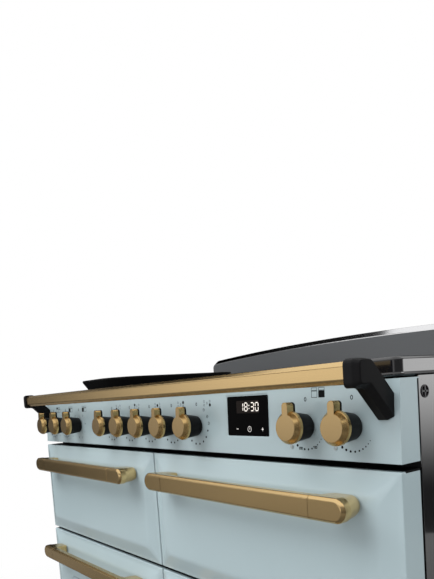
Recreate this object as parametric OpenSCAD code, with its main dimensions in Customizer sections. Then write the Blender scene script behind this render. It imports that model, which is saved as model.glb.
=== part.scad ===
// Induction range cooker with a lift-off griddle, a glide-out grill, a storage drawer
// and two side-hinged ovens.
// Design axes: X to the right, Y from the front to the rear, Z up from the floor.
// Lengths along Y are drawn from the front bottom edge of the control fascia, then moved so that
// the middle of the whole depth is at Y = 0.

/* [Body] */
// Overall width of hob, fascia and door pair
cooker_width = 1092; // [1000:1:1200]
// Depth from the fascia's front edge to the rear
body_depth = 600; // [560:1:640]
// Thickness of the folded outer sheet
sheet = 1.5; // [1:0.5:2.5]
// How far each side panel lies inside the hob edge
panel_inset = 1; // [0:0.5:4]
// Width of the folded flanges on the side panels
panel_flange = 14; // [8:1:20]
// How far the rear panel lies inside the rear edge
rear_recess = 12; // [8:1:25]
// Gap between parts that seat on each other
seat_gap = 0.3; // [0.2:0.1:0.6]
// Height of the gap under the base
foot_height = 15; // [12:1:40]
// Height of the plinth
plinth_height = 95; // [70:1:140]
// How far the plinth lies behind the front frame's face
plinth_setback = 6; // [0:1:20]
// Height of the base tray's underside above the plinth's bottom edge
tray_lift = 25; // [15:1:40]
// Height of the folded base tray
tray_height = 30; // [20:1:45]
// Width of the folded flange along the plinth's bottom edge
plinth_flange = 16; // [10:1:24]
// Distance from the front frame to the front and rear feet
foot_inset = 45; // [30:1:90]
// Radius of a levelling foot's pad
foot_pad_r = 22; // [15:1:30]
// Height of a levelling foot's pad
foot_pad_height = 8; // [5:0.5:12]
// Height of a levelling foot's hexagon
foot_nut_height = 6; // [4:0.5:8]
// Radius of a levelling foot's stem
foot_stem_r = 6; // [4:0.5:8]
// Radial clearance of a levelling foot's stem in the base tray
foot_clearance = 0.2; // [0.1:0.05:0.4]

/* [Control fascia] */
// Height of the fascia along its face
fascia_height = 98.5; // [90:0.5:115]
// Backward lean of the fascia in degrees
fascia_lean = 2.2; // [0:0.1:8]
// Gap between the fascia and the hob edge
hob_gap = 2; // [1:0.5:4]
// Width of the clock glass
clock_width = 95; // [80:1:120]
// Height of the clock glass
clock_height = 60.5; // [50:0.5:75]
// Middle of the clock glass from the first knob of the right group
clock_to_knob = 121.5; // [110:0.5:130]
// Middle of the clock glass above the fascia's bottom edge
clock_z = 58.2; // [45:0.1:62]
// Thickness of the clock glass
clock_glass = 3; // [2:0.5:5]
// Corner radius of the clock glass
clock_corner_r = 2; // [1:0.5:5]
// Width of the pressed slope round the clock glass
clock_slope = 3; // [1.5:0.5:5]
// How far the clock glass lies behind the fascia's face
clock_sink = 0.9; // [0.5:0.1:1.2]
// Depth of the clock's housing behind the fascia
clock_depth = 22; // [15:1:28]
// Border of the clock glass behind the fascia sheet
clock_border = 4; // [2:0.5:8]
// Radius of an indicator lens
lens_r = 2.2; // [1.5:0.1:4]
// Distance of a lens from its knob's axis, to the left and down
lens_offset = 27.6; // [26:0.2:32]

/* [Knobs] */
// Distance between neighbouring knobs
knob_pitch = 78; // [70:0.5:80]
// Middle of the first knob from the fascia's left end
left_knob_margin = 54; // [46:1:70]
// Middle of the hob knobs from the middle of the cooker
hob_knobs_x = -9; // [-30:1:10]
// Middle of the last knob from the fascia's right end
right_knob_margin = 69; // [56:1:80]
// Knob axis above the fascia's bottom edge
knob_z = 43.2; // [40:0.1:48]
// Radius of the flat brass face
knob_face_r = 17.2; // [14:0.1:20]
// Radius of the brass rim
knob_rim_r = 22; // [19:0.1:25]
// Depth of the brass cap
cap_depth = 11.5; // [8:0.1:14]
// How far a knob stands out from the fascia
knob_reach = 39.3; // [32:0.1:45]
// Running gap between a knob and the fascia
knob_gap = 1.2; // [0.5:0.1:3]
// Length of the lever tab above the knob axis
tab_length = 33; // [28:0.5:38]
// Width of the lever tab
tab_width = 10.6; // [8:0.1:13]
// Radius of a control spindle
spindle_r = 3; // [2.5:0.1:4]
// Radial running clearance of a spindle in its switch
spindle_clearance = 0.06; // [0.02:0.01:0.1]
// Radius of the hole that a spindle passes in the fascia
spindle_hole_r = 5; // [4:0.1:7]
// Length of a spindle behind the fascia sheet
spindle_length = 14; // [10:1:18]
// Width of a switch body
switch_width = 34; // [28:1:40]
// Height of a switch body
switch_height = 38; // [30:1:44]
// Depth of a switch body
switch_depth = 24; // [18:1:30]
// Length of a switch's round neck
switch_neck = 4; // [2:0.5:6]

/* [Handrail] */
// Margin from the fascia's end to a rail bracket
rail_margin = 8; // [4:0.5:12]
// Height of the rail's octagonal bar
rail_height = 26.5; // [20:0.5:34]
// Depth of the rail's octagonal bar
rail_depth = 22; // [18:0.5:30]
// Size of the rail's chamfers
rail_chamfer = 5.3; // [3:0.1:6]
// Rail's front face ahead of the fascia's front edge
rail_reach = 55.6; // [48:0.1:70]
// Middle of the rail above the fascia's bottom edge
rail_z = 108; // [100:0.5:112]
// Width of a rail bracket
bracket_width = 21; // [16:1:26]
// Wall of a bracket round the rail
bracket_wall = 3.5; // [2:0.5:6]

/* [Hob] */
// Height of the hob edge
hob_edge = 23; // [18:0.5:30]
// Outer corner radius of the hob
hob_corner_r = 12; // [6:1:20]
// Width of the hob's visible rim
hob_rim = 14; // [8:1:25]
// How far the hob's front edge lies behind the fascia's front edge
hob_setback = 2; // [0:0.5:6]
// Thickness of the ceramic glass
glass_thickness = 4; // [3:0.5:6]
// Radius of the small induction coils
small_coil_r = 75; // [60:1:85]
// Radius of the large induction coils
large_coil_r = 95; // [85:1:110]
// Radius of the middle induction coil
middle_coil_r = 115; // [100:1:130]
// Thickness of a coil on its carrier
coil_thickness = 9; // [6:0.5:10]
// Height of the rear upstand above the hob
upstand_height = 90; // [50:1:120]
// Depth of the rear upstand
upstand_depth = 33; // [25:1:45]
// Drop of the upstand's arched top towards its ends
upstand_arch = 17; // [5:1:30]
// Radius of the upstand's top corners
upstand_corner_r = 30; // [15:1:40]
// Width of an induction power module
generator_width = 320; // [250:5:360]
// Depth of an induction power module
generator_depth = 240; // [180:5:280]
// Height of an induction power module
generator_height = 46; // [35:1:60]
// Front of the induction power modules behind the fascia's front edge
generator_y = 120; // [60:5:200]

/* [Griddle] */
// Width of the griddle across its rim
griddle_width = 226; // [180:1:250]
// Length of the griddle from front to rear
griddle_length = 390; // [300:1:420]
// Height of the griddle
griddle_height = 26; // [18:1:40]
// Depth of the griddle's cooking recess
griddle_recess = 12; // [6:1:18]
// Radius of the griddle's corners
griddle_corner_r = 30; // [26:1:90]
// Slope of the griddle's sides, from base to rim
griddle_flare = 14; // [5:1:24]
// Margin from the hob's left end to the griddle
griddle_margin = 57; // [50:1:90]
// Front of the griddle behind the fascia's front edge
griddle_y = 62; // [40:1:100]
// Number of ribs on the griddle's cooking face
griddle_ribs = 11; // [5:1:15]

/* [Doors] */
// Height of the upper row's fronts
upper_height = 218.5; // [200:0.5:240]
// Height of the oven doors
lower_height = 431; // [400:1:460]
// Gap between the fascia and the upper row
top_gap = 9; // [5:0.5:12]
// Gap between the two rows
row_gap = 7; // [6:0.5:10]
// Gap between the oven doors and the plinth
plinth_gap = 6; // [6:0.5:10]
// Gap between the left and the right column
column_gap = 3; // [2:0.5:6]
// Depth of a door's sides
door_side = 36; // [30:1:38]
// How far a door's edge stands ahead of the fascia's front edge
door_proud = 1; // [0:0.5:4]
// How far a door's pressed field stands ahead of its edge
field_proud = 10; // [4:0.5:14]
// Width of the pressed bevel round a door's field
bevel_width = 31; // [20:1:40]
// Corner radius of a door's field
field_corner_r = 15; // [8:1:22]
// Depth of the enamelled lip over a door's top and bottom
top_lip = 7; // [4:0.5:12]
// Side margin from a door's edge to its window
window_side = 123; // [105:1:150]
// Top margin from a door's edge to its window
window_top = 126; // [105:1:150]
// Bottom margin from a door's edge to its window
window_bottom = 92; // [70:1:110]
// Width of the pressed recess round a window
window_recess = 22; // [12:1:30]
// Thickness of a window pane
pane = 4; // [3:0.5:5]
// Thickness of a door's rear sheet and walls
pan_sheet = 2; // [1.5:0.5:3]
// Width of a door seal
seal_width = 9; // [6:0.5:12]
// Distance from a door's edge to its seal
seal_inset = 21; // [19:0.5:24]

/* [Handles] */
// Length of a door handle
handle_length = 457; // [380:1:480]
// Height of a handle
handle_height = 31; // [24:0.5:36]
// Thickness of a handle's bar
handle_thickness = 17; // [12:0.5:20]
// Handle's front face ahead of the fascia's front edge
handle_reach = 60; // [50:0.5:75]
// Size of the chamfer round a handle's face
handle_chamfer = 5; // [3:0.5:7]
// Length of each end post along the bar
handle_post = 56; // [40:1:70]
// Middle of a handle below its door's top edge
handle_drop = 43.5; // [35:0.5:60]
// Draw-in of an end post towards the door
post_taper = 5; // [2:0.5:8]
// Width of the fine seams between parts that are joined from behind
seam = 0.2; // [0.1:0.05:0.5]

/* [Hinges] */
// Hinge axis from a door's outer edge
hinge_inset = 13; // [11:0.5:18]
// Hinge axis behind the fascia's front edge
hinge_y = 16; // [14:0.5:18]
// Radius of a hinge pin
hinge_pin_r = 4; // [3:0.1:5]
// Radial running clearance of a hinge pin
hinge_clearance = 0.06; // [0.02:0.01:0.1]
// Length of a hinge pin inside its door
hinge_pin_length = 14; // [10:1:20]
// Thickness of a hinge bracket
hinge_plate = 2.5; // [2:0.5:3]

/* [Cavities] */
// Front frame's face behind the fascia's front edge
frame_y = 41; // [40:0.5:45]
// Thickness of the front frame
frame_thickness = 3; // [2:0.5:5]
// Margin from a door's edge to its cavity
cavity_margin = 40; // [36:1:60]
// Margin above and below the upper cavities
upper_margin = 31; // [31:1:40]
// Wall of a cavity liner
liner_wall = 2; // [1.5:0.5:3]
// Width of a liner's front flange
liner_flange = 10; // [6:1:14]
// Depth of the ovens behind the front frame
oven_depth = 452; // [400:1:470]
// Depth of the grill cavity and the drawer housing
upper_depth = 430; // [380:1:460]
// Number of shelf levels in each oven
shelf_levels = 5; // [3:1:6]
// Shelf level that holds a shelf, counted from the bottom
shelf_used = 2; // [2:1:3]
// Distance between shelf levels
shelf_pitch = 52; // [45:1:60]
// Reach of a shelf ledge into the oven
ledge_reach = 9; // [6:1:14]
// Radius of a shelf wire
wire_r = 2.5; // [1.5:0.1:4]
// Number of cross wires in a shelf
shelf_wires = 15; // [8:1:20]
// Clearance of a shelf between the liner's sides
shelf_clearance = 4; // [2:0.5:8]
// Radius of the fan covers' ring of slots
cover_ring_r = 78; // [60:1:95]
// Depth of the fan chamber
fan_chamber = 34; // [26:1:50]
// Radius of an oven fan
fan_r = 70; // [50:1:85]
// Number of blades on an oven fan
fan_blades = 12; // [6:1:18]
// Radius of a fan's shaft
fan_shaft_r = 4; // [3:0.5:5]
// Radial running clearance of a fan's shaft
fan_clearance = 0.06; // [0.02:0.01:0.1]
// Radius of a fan motor
motor_r = 36; // [28:1:45]
// Length of a fan motor
motor_length = 48; // [35:1:55]
// Depth of a fan's shaft in its motor
shaft_depth = 20; // [12:1:30]
// Radius of a heating element's tube
element_r = 3.5; // [2.5:0.1:5]
// Gap between an oven fan and its ring element
ring_gap = 14; // [10:1:24]
// Half distance between the two ends of a ring element
ring_end = 12; // [8:1:16]

/* [Grill and drawer] */
// Height of the grill pan
pan_height = 34; // [25:1:45]
// Wall of the grill pan and the drawer
tray_wall = 1.5; // [1:0.5:2.5]
// Length of the grill pan
pan_length = 350; // [300:1:380]
// Height of a sliding rail
slide_height = 18; // [14:1:24]
// Thickness of a sliding rail
slide_thickness = 5; // [4:0.5:8]
// Running clearance of a sliding rail
slide_clearance = 0.4; // [0.3:0.1:1]
// Wall of the channels that the sliding rails run in
runner_wall = 2; // [1.5:0.1:3]
// Width of the channels' inner lips
runner_lip = 1.2; // [0.8:0.1:2]
// Gap between the channels and the pan or drawer between them
tray_gap = 1; // [0.7:0.1:3]
// Length of the sliding rails
slide_length = 400; // [350:1:420]
// Height of the storage drawer's walls
drawer_height = 118; // [80:1:130]
// Number of runs in the grill element
element_runs = 6; // [4:2:10]

/* [Services] */
// Radius of the cable entry
cable_entry_r = 9; // [6:0.5:12]
// Length of the cable entry
cable_entry_length = 24; // [16:1:30]
// Middle of the cable entry from the cooker's right end
cable_entry_margin = 166; // [100:1:200]
// Middle of the cable entry above the base tray
cable_entry_z = 70; // [60:1:120]
// Width of the terminal box
terminal_width = 90; // [60:1:120]
// Height of the terminal box
terminal_height = 60; // [50:1:90]
// Depth of the terminal box
terminal_depth = 34.5; // [30:0.5:50]
// Radius of the side panels' plugs
plug_r = 8; // [5:0.5:12]

/* [Hidden] */
$fn = 48;

// Colours
enamel = "#a7bcc1";
black = "#232326";
steel = "#8d9196";
brass = "#b08a55";
grey = "#5a5c60";

// Heights, from the floor up
plinth_top = foot_height + plinth_height;
lower_bottom = plinth_top + plinth_gap;
lower_top = lower_bottom + lower_height;
upper_bottom = lower_top + row_gap;
upper_top = upper_bottom + upper_height;
fascia_bottom = upper_top + top_gap;
fascia_top = fascia_bottom + fascia_height * cos(fascia_lean);
hob_bottom = fascia_top + hob_gap;
hob_top = hob_bottom + hob_edge;
tray_z = foot_height + tray_lift;

// Widths
half_width = cooker_width / 2;
door_width = half_width - column_gap / 2;
column_x = (half_width + column_gap / 2) / 2;
panel_x = half_width - panel_inset;
inside_x = panel_x - sheet;
cavity_width = door_width - 2 * cavity_margin;

// Depths
bracket_front = rail_reach + bracket_wall;
front_reach = max(bracket_front, handle_reach);
mid_depth = (body_depth - front_reach) / 2;
door_front = -door_proud - field_proud;
door_rear = door_side - door_proud;
pan_rear = door_rear + pan_sheet;
frame_rear = frame_y + frame_thickness;
fascia_return = frame_y - seat_gap;
side_groove = 4;
plinth_y = frame_y + plinth_setback;
upstand_y = body_depth - upstand_depth;
corner_lift = 1;
rear_panel_y = body_depth - rear_recess;
oven_rear = frame_rear + oven_depth;
upper_rear = frame_rear + upper_depth;
cover_y = oven_rear - fan_chamber;

// Upper cavities
upper_low = upper_bottom + upper_margin;
upper_high = upper_top - upper_margin;
slide_z = upper_low + 12;
slide_side = cavity_width / 2 - slide_thickness - slide_clearance - runner_wall;
lip_x = slide_side - slide_clearance - runner_lip;
strip_x = slide_side - 8;
web_z = 4;
rail_rear = frame_rear + slide_length;
tray_y = pan_rear + 30;
pan_rim = 12;

// Oven cavities
oven_low = lower_bottom + cavity_margin;
oven_high = lower_top - cavity_margin;
fan_z = (oven_low + oven_high) / 2;
shelf_low = oven_low + 48;
ledge_height = 4;
shelf_y = frame_rear + (oven_depth - fan_chamber) / 2;
shelf_length = oven_depth - fan_chamber - 36;
shelf_z = shelf_low + (shelf_used - 1) * shelf_pitch + ledge_height / 2 + seat_gap + wire_r;
ring_r = fan_r + ring_gap;
ring_drop = sqrt(ring_r * ring_r - ring_end * ring_end);

// Places along the fascia, the hob and the rear
right_group_x = half_width - right_knob_margin - knob_pitch;
knob_x = concat(
    [for (i = [0 : 2]) -half_width + left_knob_margin + i * knob_pitch],
    [for (i = [-2 : 2]) hob_knobs_x + i * knob_pitch],
    [for (i = [0 : 1]) right_group_x + i * knob_pitch]
);
clock_x = right_group_x - clock_to_knob;
rail_length = cooker_width - 2 * (rail_margin + bracket_width);
griddle_x = -half_width + griddle_margin + griddle_width / 2;
cable_entry_x = half_width - cable_entry_margin;

// Moves the design frame to the frame whose origin is under the middle of the whole depth
module placed() translate([0, -mid_depth, 0]) children();

// Local frame of the fascia: z runs up its face, y runs into it
module on_fascia() placed() translate([0, 0, fascia_bottom]) rotate([-fascia_lean, 0, 0]) children();

// Box from two opposite corners
module span(low, high) translate(low) cube(high - low);

// Flat rounded rectangle about its middle
module rounded_rect(w, h, r) {
    square([w - 2 * r, h], center = true);
    square([w, h - 2 * r], center = true);
    for (sx = [-1, 1], sz = [-1, 1]) translate([sx * (w / 2 - r), sz * (h / 2 - r)]) circle(r);
}

// Upright plate in the XZ plane, from y to y + depth, drawn by 2D children
module upright(y, depth) translate([0, y + depth, 0]) rotate([90, 0, 0]) linear_extrude(depth) children();

// Both mirrored sides
module both_sides() {
    children();
    mirror([1, 0, 0]) children();
}

// Base and casing

module base_tray() placed() color(steel) {
    front = plinth_y + sheet;
    difference() {
        span([-inside_x, front, tray_z], [inside_x, rear_panel_y, tray_z + tray_height]);
        span([-inside_x + sheet, front + sheet, tray_z - 1],
             [inside_x - sheet, rear_panel_y - sheet, tray_z + tray_height - sheet]);
        foot_places() cylinder(r = foot_stem_r + foot_clearance, h = tray_z + tray_height + 1);
    }
    foot_places() translate([0, 0, tray_z]) difference() {
        cylinder(r = 2 * foot_stem_r, h = tray_height - sheet);
        translate([0, 0, -1]) cylinder(r = foot_stem_r + foot_clearance, h = tray_height + 2);
    }
}

module foot_places() {
    for (sx = [-1, 1], y = [frame_rear + foot_inset, rear_panel_y - foot_inset])
        translate([sx * (panel_x - foot_inset), y, 0]) children();
}

// Tapered pad, hexagon to turn it by, and a stem up through the tray
module levelling_feet() placed() color(black) foot_places() {
    nut_top = foot_pad_height + foot_nut_height;
    cylinder(r1 = foot_pad_r, r2 = foot_pad_r - 4, h = foot_pad_height);
    translate([0, 0, foot_pad_height]) cylinder(r = 2 * foot_stem_r - 1, h = foot_nut_height, $fn = 6);
    translate([0, 0, nut_top]) cylinder(r = foot_stem_r, h = tray_z + tray_height - sheet - nut_top);
}

// Side sheet with a flange behind the front frame and one at the rear edge
module side_panel() {
    flange_x = inside_x - panel_flange;
    difference() {
        span([inside_x, frame_y, foot_height], [panel_x, body_depth, hob_bottom]);
        plug_place() rotate([0, 90, 0]) cylinder(r = plug_r - 1.5, h = 40, center = true);
    }
    span([flange_x, frame_rear, plinth_top], [inside_x, frame_rear + sheet, hob_bottom]);
    span([flange_x, body_depth - sheet, foot_height], [inside_x, body_depth, hob_bottom]);
}

module plug_place() translate([panel_x, frame_y + 12, fascia_bottom + 81]) children();

module side_panels() placed() color(black) both_sides() side_panel();

// Plastic plugs with a pressed cross
module side_plugs() placed() color(black) both_sides() plug_place() rotate([0, 90, 0]) {
    difference() {
        cylinder(r1 = plug_r, r2 = plug_r - 0.4, h = 0.9);
        for (a = [0, 90]) rotate([0, 0, a])
            translate([-1, -plug_r + 2, 0.4]) cube([2, 2 * plug_r - 4, 2]);
    }
    translate([0, 0, -sheet - 2]) cylinder(r = plug_r - 1.6, h = sheet + 2);
}

// Rear sheet with rows of vents and the hole for the cable entry
module rear_panel() placed() color(steel) difference() {
    span([-inside_x, rear_panel_y, tray_z], [inside_x, rear_panel_y + sheet, hob_bottom]);
    for (row = [0 : 5], col = [-7 : 7])
        translate([col * 62, rear_panel_y - 1, upper_low + row * 20]) cube([44, sheet + 2, 6]);
    translate([cable_entry_x, rear_panel_y - 1, tray_z + tray_height + cable_entry_z])
        rotate([-90, 0, 0]) cylinder(r = cable_entry_r + 4.2, h = sheet + 2);
}

// Strips welded into a frame from the plinth to the hob, open at the four cavities
module front_frame() placed() color(black) upright(frame_y, frame_thickness) {
    reach = inside_x - seat_gap;
    middle = column_x - cavity_width / 2;
    height = hob_bottom - plinth_top;
    for (sx = [-1, 1]) translate([sx * (reach + column_x + cavity_width / 2) / 2, plinth_top + height / 2])
        square([reach - column_x - cavity_width / 2, height], center = true);
    translate([-middle, plinth_top]) square([2 * middle, height]);
    for (sx = [-1, 1]) translate([sx * column_x - cavity_width / 2 + seam, 0]) {
        frame_strip(plinth_top, oven_low);
        frame_strip(oven_high, upper_low);
        frame_strip(upper_high, hob_bottom);
    }
}

module frame_strip(low, high) translate([0, low]) square([cavity_width - 2 * seam, high - low]);

// Kick board with a flange along its bottom edge, against the base tray
module plinth() placed() color(black) {
    reach = inside_x - seat_gap;
    span([-reach, plinth_y, foot_height], [reach, plinth_y + sheet, plinth_top]);
    span([-reach, plinth_y, foot_height], [reach, plinth_y + sheet + plinth_flange, foot_height + sheet]);
}

// Control fascia and what it carries

module control_fascia() color(enamel) difference() {
    intersection() {
        on_fascia() span([-half_width, 0, -3], [half_width, fascia_return + 8, fascia_height + 3]);
        placed() span([-half_width, -10, fascia_bottom], [half_width, fascia_return, fascia_top]);
    }
    on_fascia() span([-half_width + sheet, sheet, -10], [half_width - sheet, 80, fascia_height - sheet]);
    on_fascia() {
        for (x = knob_x) translate([x, -1, knob_z]) rotate([-90, 0, 0]) cylinder(r = spindle_hole_r, h = 10);
        translate([clock_x, 0, clock_z]) {
            upright(-1, sheet + 2) clock_outline(0);
            hull() {
                upright(-1, 1) clock_outline(clock_slope);
                upright(0, clock_sink) clock_outline(0);
            }
        }
        lens_places() rotate([-90, 0, 0]) translate([0, 0, -2]) cylinder(r = lens_r, h = sheet + 4);
    }
    placed() both_sides() span([half_width - 2 * sheet, fascia_return - side_groove, fascia_bottom - 1],
                               [half_width + 1, fascia_return + 1, fascia_top - sheet]);
}

// The right group's two thermostats have an indicator each
module lens_places()
    for (i = [8, 9]) translate([knob_x[i] - lens_offset, 0, knob_z - lens_offset]) children();

// Outline of the clock glass, grown all round
module clock_outline(grow) rounded_rect(
    clock_width + 2 * grow, clock_height + 2 * grow, clock_corner_r + max(grow, 0));

// Glass with a rebate that fills the fascia's opening, on its housing
module clock_panel() on_fascia() color(black) translate([clock_x, 0, clock_z]) {
    upright(clock_sink, sheet - clock_sink) clock_outline(-seat_gap);
    upright(sheet, clock_glass) clock_outline(clock_border);
    upright(sheet + clock_glass, clock_depth - clock_glass) square([clock_width, clock_height], center = true);
}

module indicator_lenses() on_fascia() color(grey) lens_places() rotate([90, 0, 0]) {
    cylinder(r = lens_r + 0.6, h = 1);
    translate([0, 0, -sheet - 5]) cylinder(r = lens_r - 0.1, h = sheet + 5);
    translate([0, 0, 1]) intersection() {
        translate([0, 0, -lens_r]) sphere(lens_r * 1.3);
        cylinder(r = lens_r, h = lens_r);
    }
}

// Switch bodies behind the fascia, each on a round neck that carries its spindle
module control_switches() on_fascia() color(steel)
    for (x = knob_x) translate([x, sheet, knob_z]) rotate([-90, 0, 0]) difference() {
        x = switch_width / 2;
        y = switch_height / 2;
        union() {
            span([-x, -y, switch_neck], [x, y, switch_neck + switch_depth]);
            for (sx = [-1, 1]) translate([sx * x * 0.8, y, switch_neck + switch_depth - 4])
                span([-1.5, 0, 0], [1.5, 7, 0.8]);
            cylinder(r = 3 * spindle_r, h = switch_neck);
        }
        translate([0, 0, -1]) cylinder(r = spindle_r + spindle_clearance, h = spindle_length + 2);
    }

// Lever knob: a turned brass cap with its tab on a black core, on the control's spindle
module knob(i) on_fascia() translate([knob_x[i], -knob_reach, knob_z]) rotate([-90, 0, 0]) {
    core_z = cap_depth + seam;
    core_length = knob_reach - core_z - knob_gap;
    hollow = 8;
    color(brass) union() {
        rotate_extrude() polygon([
            [0, 0], [knob_face_r, 0], [knob_rim_r - 0.6, 5.2], [knob_rim_r - 0.6, 5.8],
            [knob_rim_r - 1.2, 6.1], [knob_rim_r, 6.8], [knob_rim_r, cap_depth], [0, cap_depth]
        ]);
        knob_tab(0, cap_depth);
    }
    color(black) {
        knob_tab(core_z, 1.8);
        translate([0, 0, core_z]) rotate_extrude() polygon([
            [0, 0], [knob_rim_r - 0.7, 0], [knob_rim_r + 0.4, core_length - 5],
            [knob_rim_r - 1.8, core_length], [knob_rim_r - 8, core_length],
            [knob_rim_r - 9, core_length - hollow], [0, core_length - hollow]
        ]);
        translate([0, 0, core_z + core_length - hollow])
            cylinder(r = spindle_r, h = hollow + knob_gap + sheet + spindle_length);
    }
}

// Tab with a round end, from the knob's middle outwards
module knob_tab(z, depth) translate([0, 0, z]) linear_extrude(depth) {
    translate([-tab_width / 2, -tab_length + tab_width / 2]) square([tab_width, tab_length - tab_width / 2]);
    translate([0, -tab_length + tab_width / 2]) circle(tab_width / 2);
}

module knob_1() knob(0);
module knob_2() knob(1);
module knob_3() knob(2);
module knob_4() knob(3);
module knob_5() knob(4);
module knob_6() knob(5);
module knob_7() knob(6);
module knob_8() knob(7);
module knob_9() knob(8);
module knob_10() knob(9);

// Octagonal handrail, drawn as its section in YZ
module handrail() placed() color(brass)
    translate([-rail_length / 2, 0, fascia_bottom])
        rotate([90, 0, 90]) linear_extrude(rail_length) rail_section(0);

module rail_section(grow) {
    c = rail_chamfer;
    y0 = -rail_reach - grow;
    y1 = -rail_reach + rail_depth + grow;
    z0 = rail_z - rail_height / 2 - grow;
    z1 = rail_z + rail_height / 2 + grow;
    polygon([
        [y0 + c, z0], [y1 - c, z0], [y1, z0 + c], [y1, z1 - c],
        [y1 - c, z1], [y0 + c, z1], [y0, z1 - c], [y0, z0 + c]
    ]);
}

module rail_brackets() placed() color(black) both_sides() difference() {
    translate([rail_length / 2, 0, fascia_bottom]) {
        rotate([90, 0, 90]) linear_extrude(bracket_width) rail_section(bracket_wall);
        bracket_arm();
    }
    translate([0, 0, fascia_bottom]) rotate([-fascia_lean, 0, 0])
        span([-half_width, 0, -50], [half_width, 100, 200]);
}

// Arm from the rail down to its foot on the fascia
module bracket_arm() {
    top_y = -rail_reach + rail_depth;
    foot_top = 86;
    foot_low = 51;
    low_y = -rail_reach + 16;
    low_z = rail_z - rail_height / 2 - bracket_wall;
    hull() {
        rotate([90, 0, 90]) linear_extrude(bracket_width - 6) polygon([
            [low_y, low_z], [-1, foot_low], [8, foot_low], [8, foot_top], [4, foot_top],
            [top_y, rail_z + rail_height / 2 + bracket_wall]
        ]);
        rotate([90, 0, 90]) linear_extrude(bracket_width) polygon([
            [low_y + 1, low_z + 4], [-6, foot_low + 15], [2, foot_low + 7], [8, foot_low + 7], [8, foot_top],
            [4, foot_top], [top_y, rail_z + rail_height / 2 + bracket_wall]
        ]);
    }
}

// Hob

module hob_outline(inset) translate([0, (hob_setback + upstand_y) / 2])
    rounded_rect(cooker_width - 2 * inset, upstand_y - hob_setback - 2 * inset, max(hob_corner_r - inset, 1));

module hob_frame() placed() color(black) difference() {
    union() {
        translate([0, 0, hob_bottom]) linear_extrude(4) hob_outline(2.5);
        translate([0, 0, hob_bottom + 4]) linear_extrude(hob_edge - 6) hob_outline(0);
        translate([0, 0, hob_top - 2]) linear_extrude(1) hob_outline(0.6);
        translate([0, 0, hob_top - 1]) linear_extrude(1) hob_outline(1.6);
    }
    translate([0, 0, hob_top - glass_thickness]) linear_extrude(glass_thickness + 1) hob_outline(hob_rim);
    translate([0, 0, hob_bottom + sheet]) linear_extrude(hob_edge) hob_outline(hob_rim + 8);
}

module hob_glass() placed() color("#101113") translate([0, 0, hob_top - glass_thickness])
    linear_extrude(glass_thickness) hob_outline(hob_rim);

module coil(x, y, r) translate([x, y, hob_bottom + sheet]) {
    cylinder(r = r + 4, h = 2);
    for (i = [0 : 3]) {
        outer = r - i * (r - 18) / 4;
        translate([0, 0, 2]) difference() {
            cylinder(r = outer, h = coil_thickness - 2);
            translate([0, 0, -1]) cylinder(r = outer - (r - 18) / 4 + 3, h = coil_thickness);
        }
    }
}

module induction_coils() placed() color("#9a5b33") {
    span_y = upstand_y - hob_setback;
    side_x = half_width - 172;
    front_y = hob_setback + span_y * 0.28;
    back_y = hob_setback + span_y * 0.72;
    coil(-side_x, front_y, small_coil_r);
    coil(-side_x, back_y, large_coil_r);
    coil(0, (front_y + back_y) / 2, middle_coil_r);
    coil(side_x, front_y, large_coil_r);
    coil(side_x, back_y, small_coil_r);
}

// Upstand with an arched top and rounded top corners
module upstand_outline(inset) {
    w = half_width - inset;
    h = hob_edge + upstand_height - inset;
    arch_r = (half_width * half_width + upstand_arch * upstand_arch) / (2 * upstand_arch);
    r = upstand_corner_r;
    corner_z = h - arch_r + sqrt(arch_r * arch_r - (w - r) * (w - r)) - r + corner_lift;
    intersection() {
        translate([0, h - arch_r]) circle(arch_r, $fn = 720);
        union() {
            translate([-w, 0]) square([2 * w, corner_z]);
            translate([-w + r, 0]) square([2 * (w - r), h]);
            for (sx = [-1, 1]) translate([sx * (w - r), corner_z]) circle(r);
        }
    }
}

module rear_upstand() placed() color(grey) translate([0, 0, hob_bottom]) difference() {
    union() {
        upright(upstand_y, 2) upstand_outline(2);
        upright(upstand_y + 2, upstand_depth - 2) upstand_outline(0);
    }
    upright(upstand_y + sheet + 2, upstand_depth) difference() {
        upstand_outline(sheet);
        translate([-half_width, -1]) square([2 * half_width, 4]);
    }
}

// Power modules hung under the hob's floor, each with an air inlet and rows of slots
module induction_generators() placed() color(steel) both_sides()
    translate([column_x, generator_y, hob_bottom - generator_height]) difference() {
        span([-generator_width / 2, 0, 0], [generator_width / 2, generator_depth, generator_height]);
        span([-generator_width / 2 + sheet, sheet, sheet],
             [generator_width / 2 - sheet, generator_depth - sheet, generator_height - sheet]);
        translate([0, generator_depth / 2, -1]) difference() {
            cylinder(r = 38, h = 6);
            cylinder(r = 14, h = 6);
            for (a = [0, 90]) rotate([0, 0, a]) translate([-40, -2, 0]) cube([80, 4, 6]);
        }
        for (i = [-6 : 6]) translate([i * 22 - 3, -1, generator_height / 4])
            cube([6, generator_depth + 2, generator_height / 2]);
    }

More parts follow.
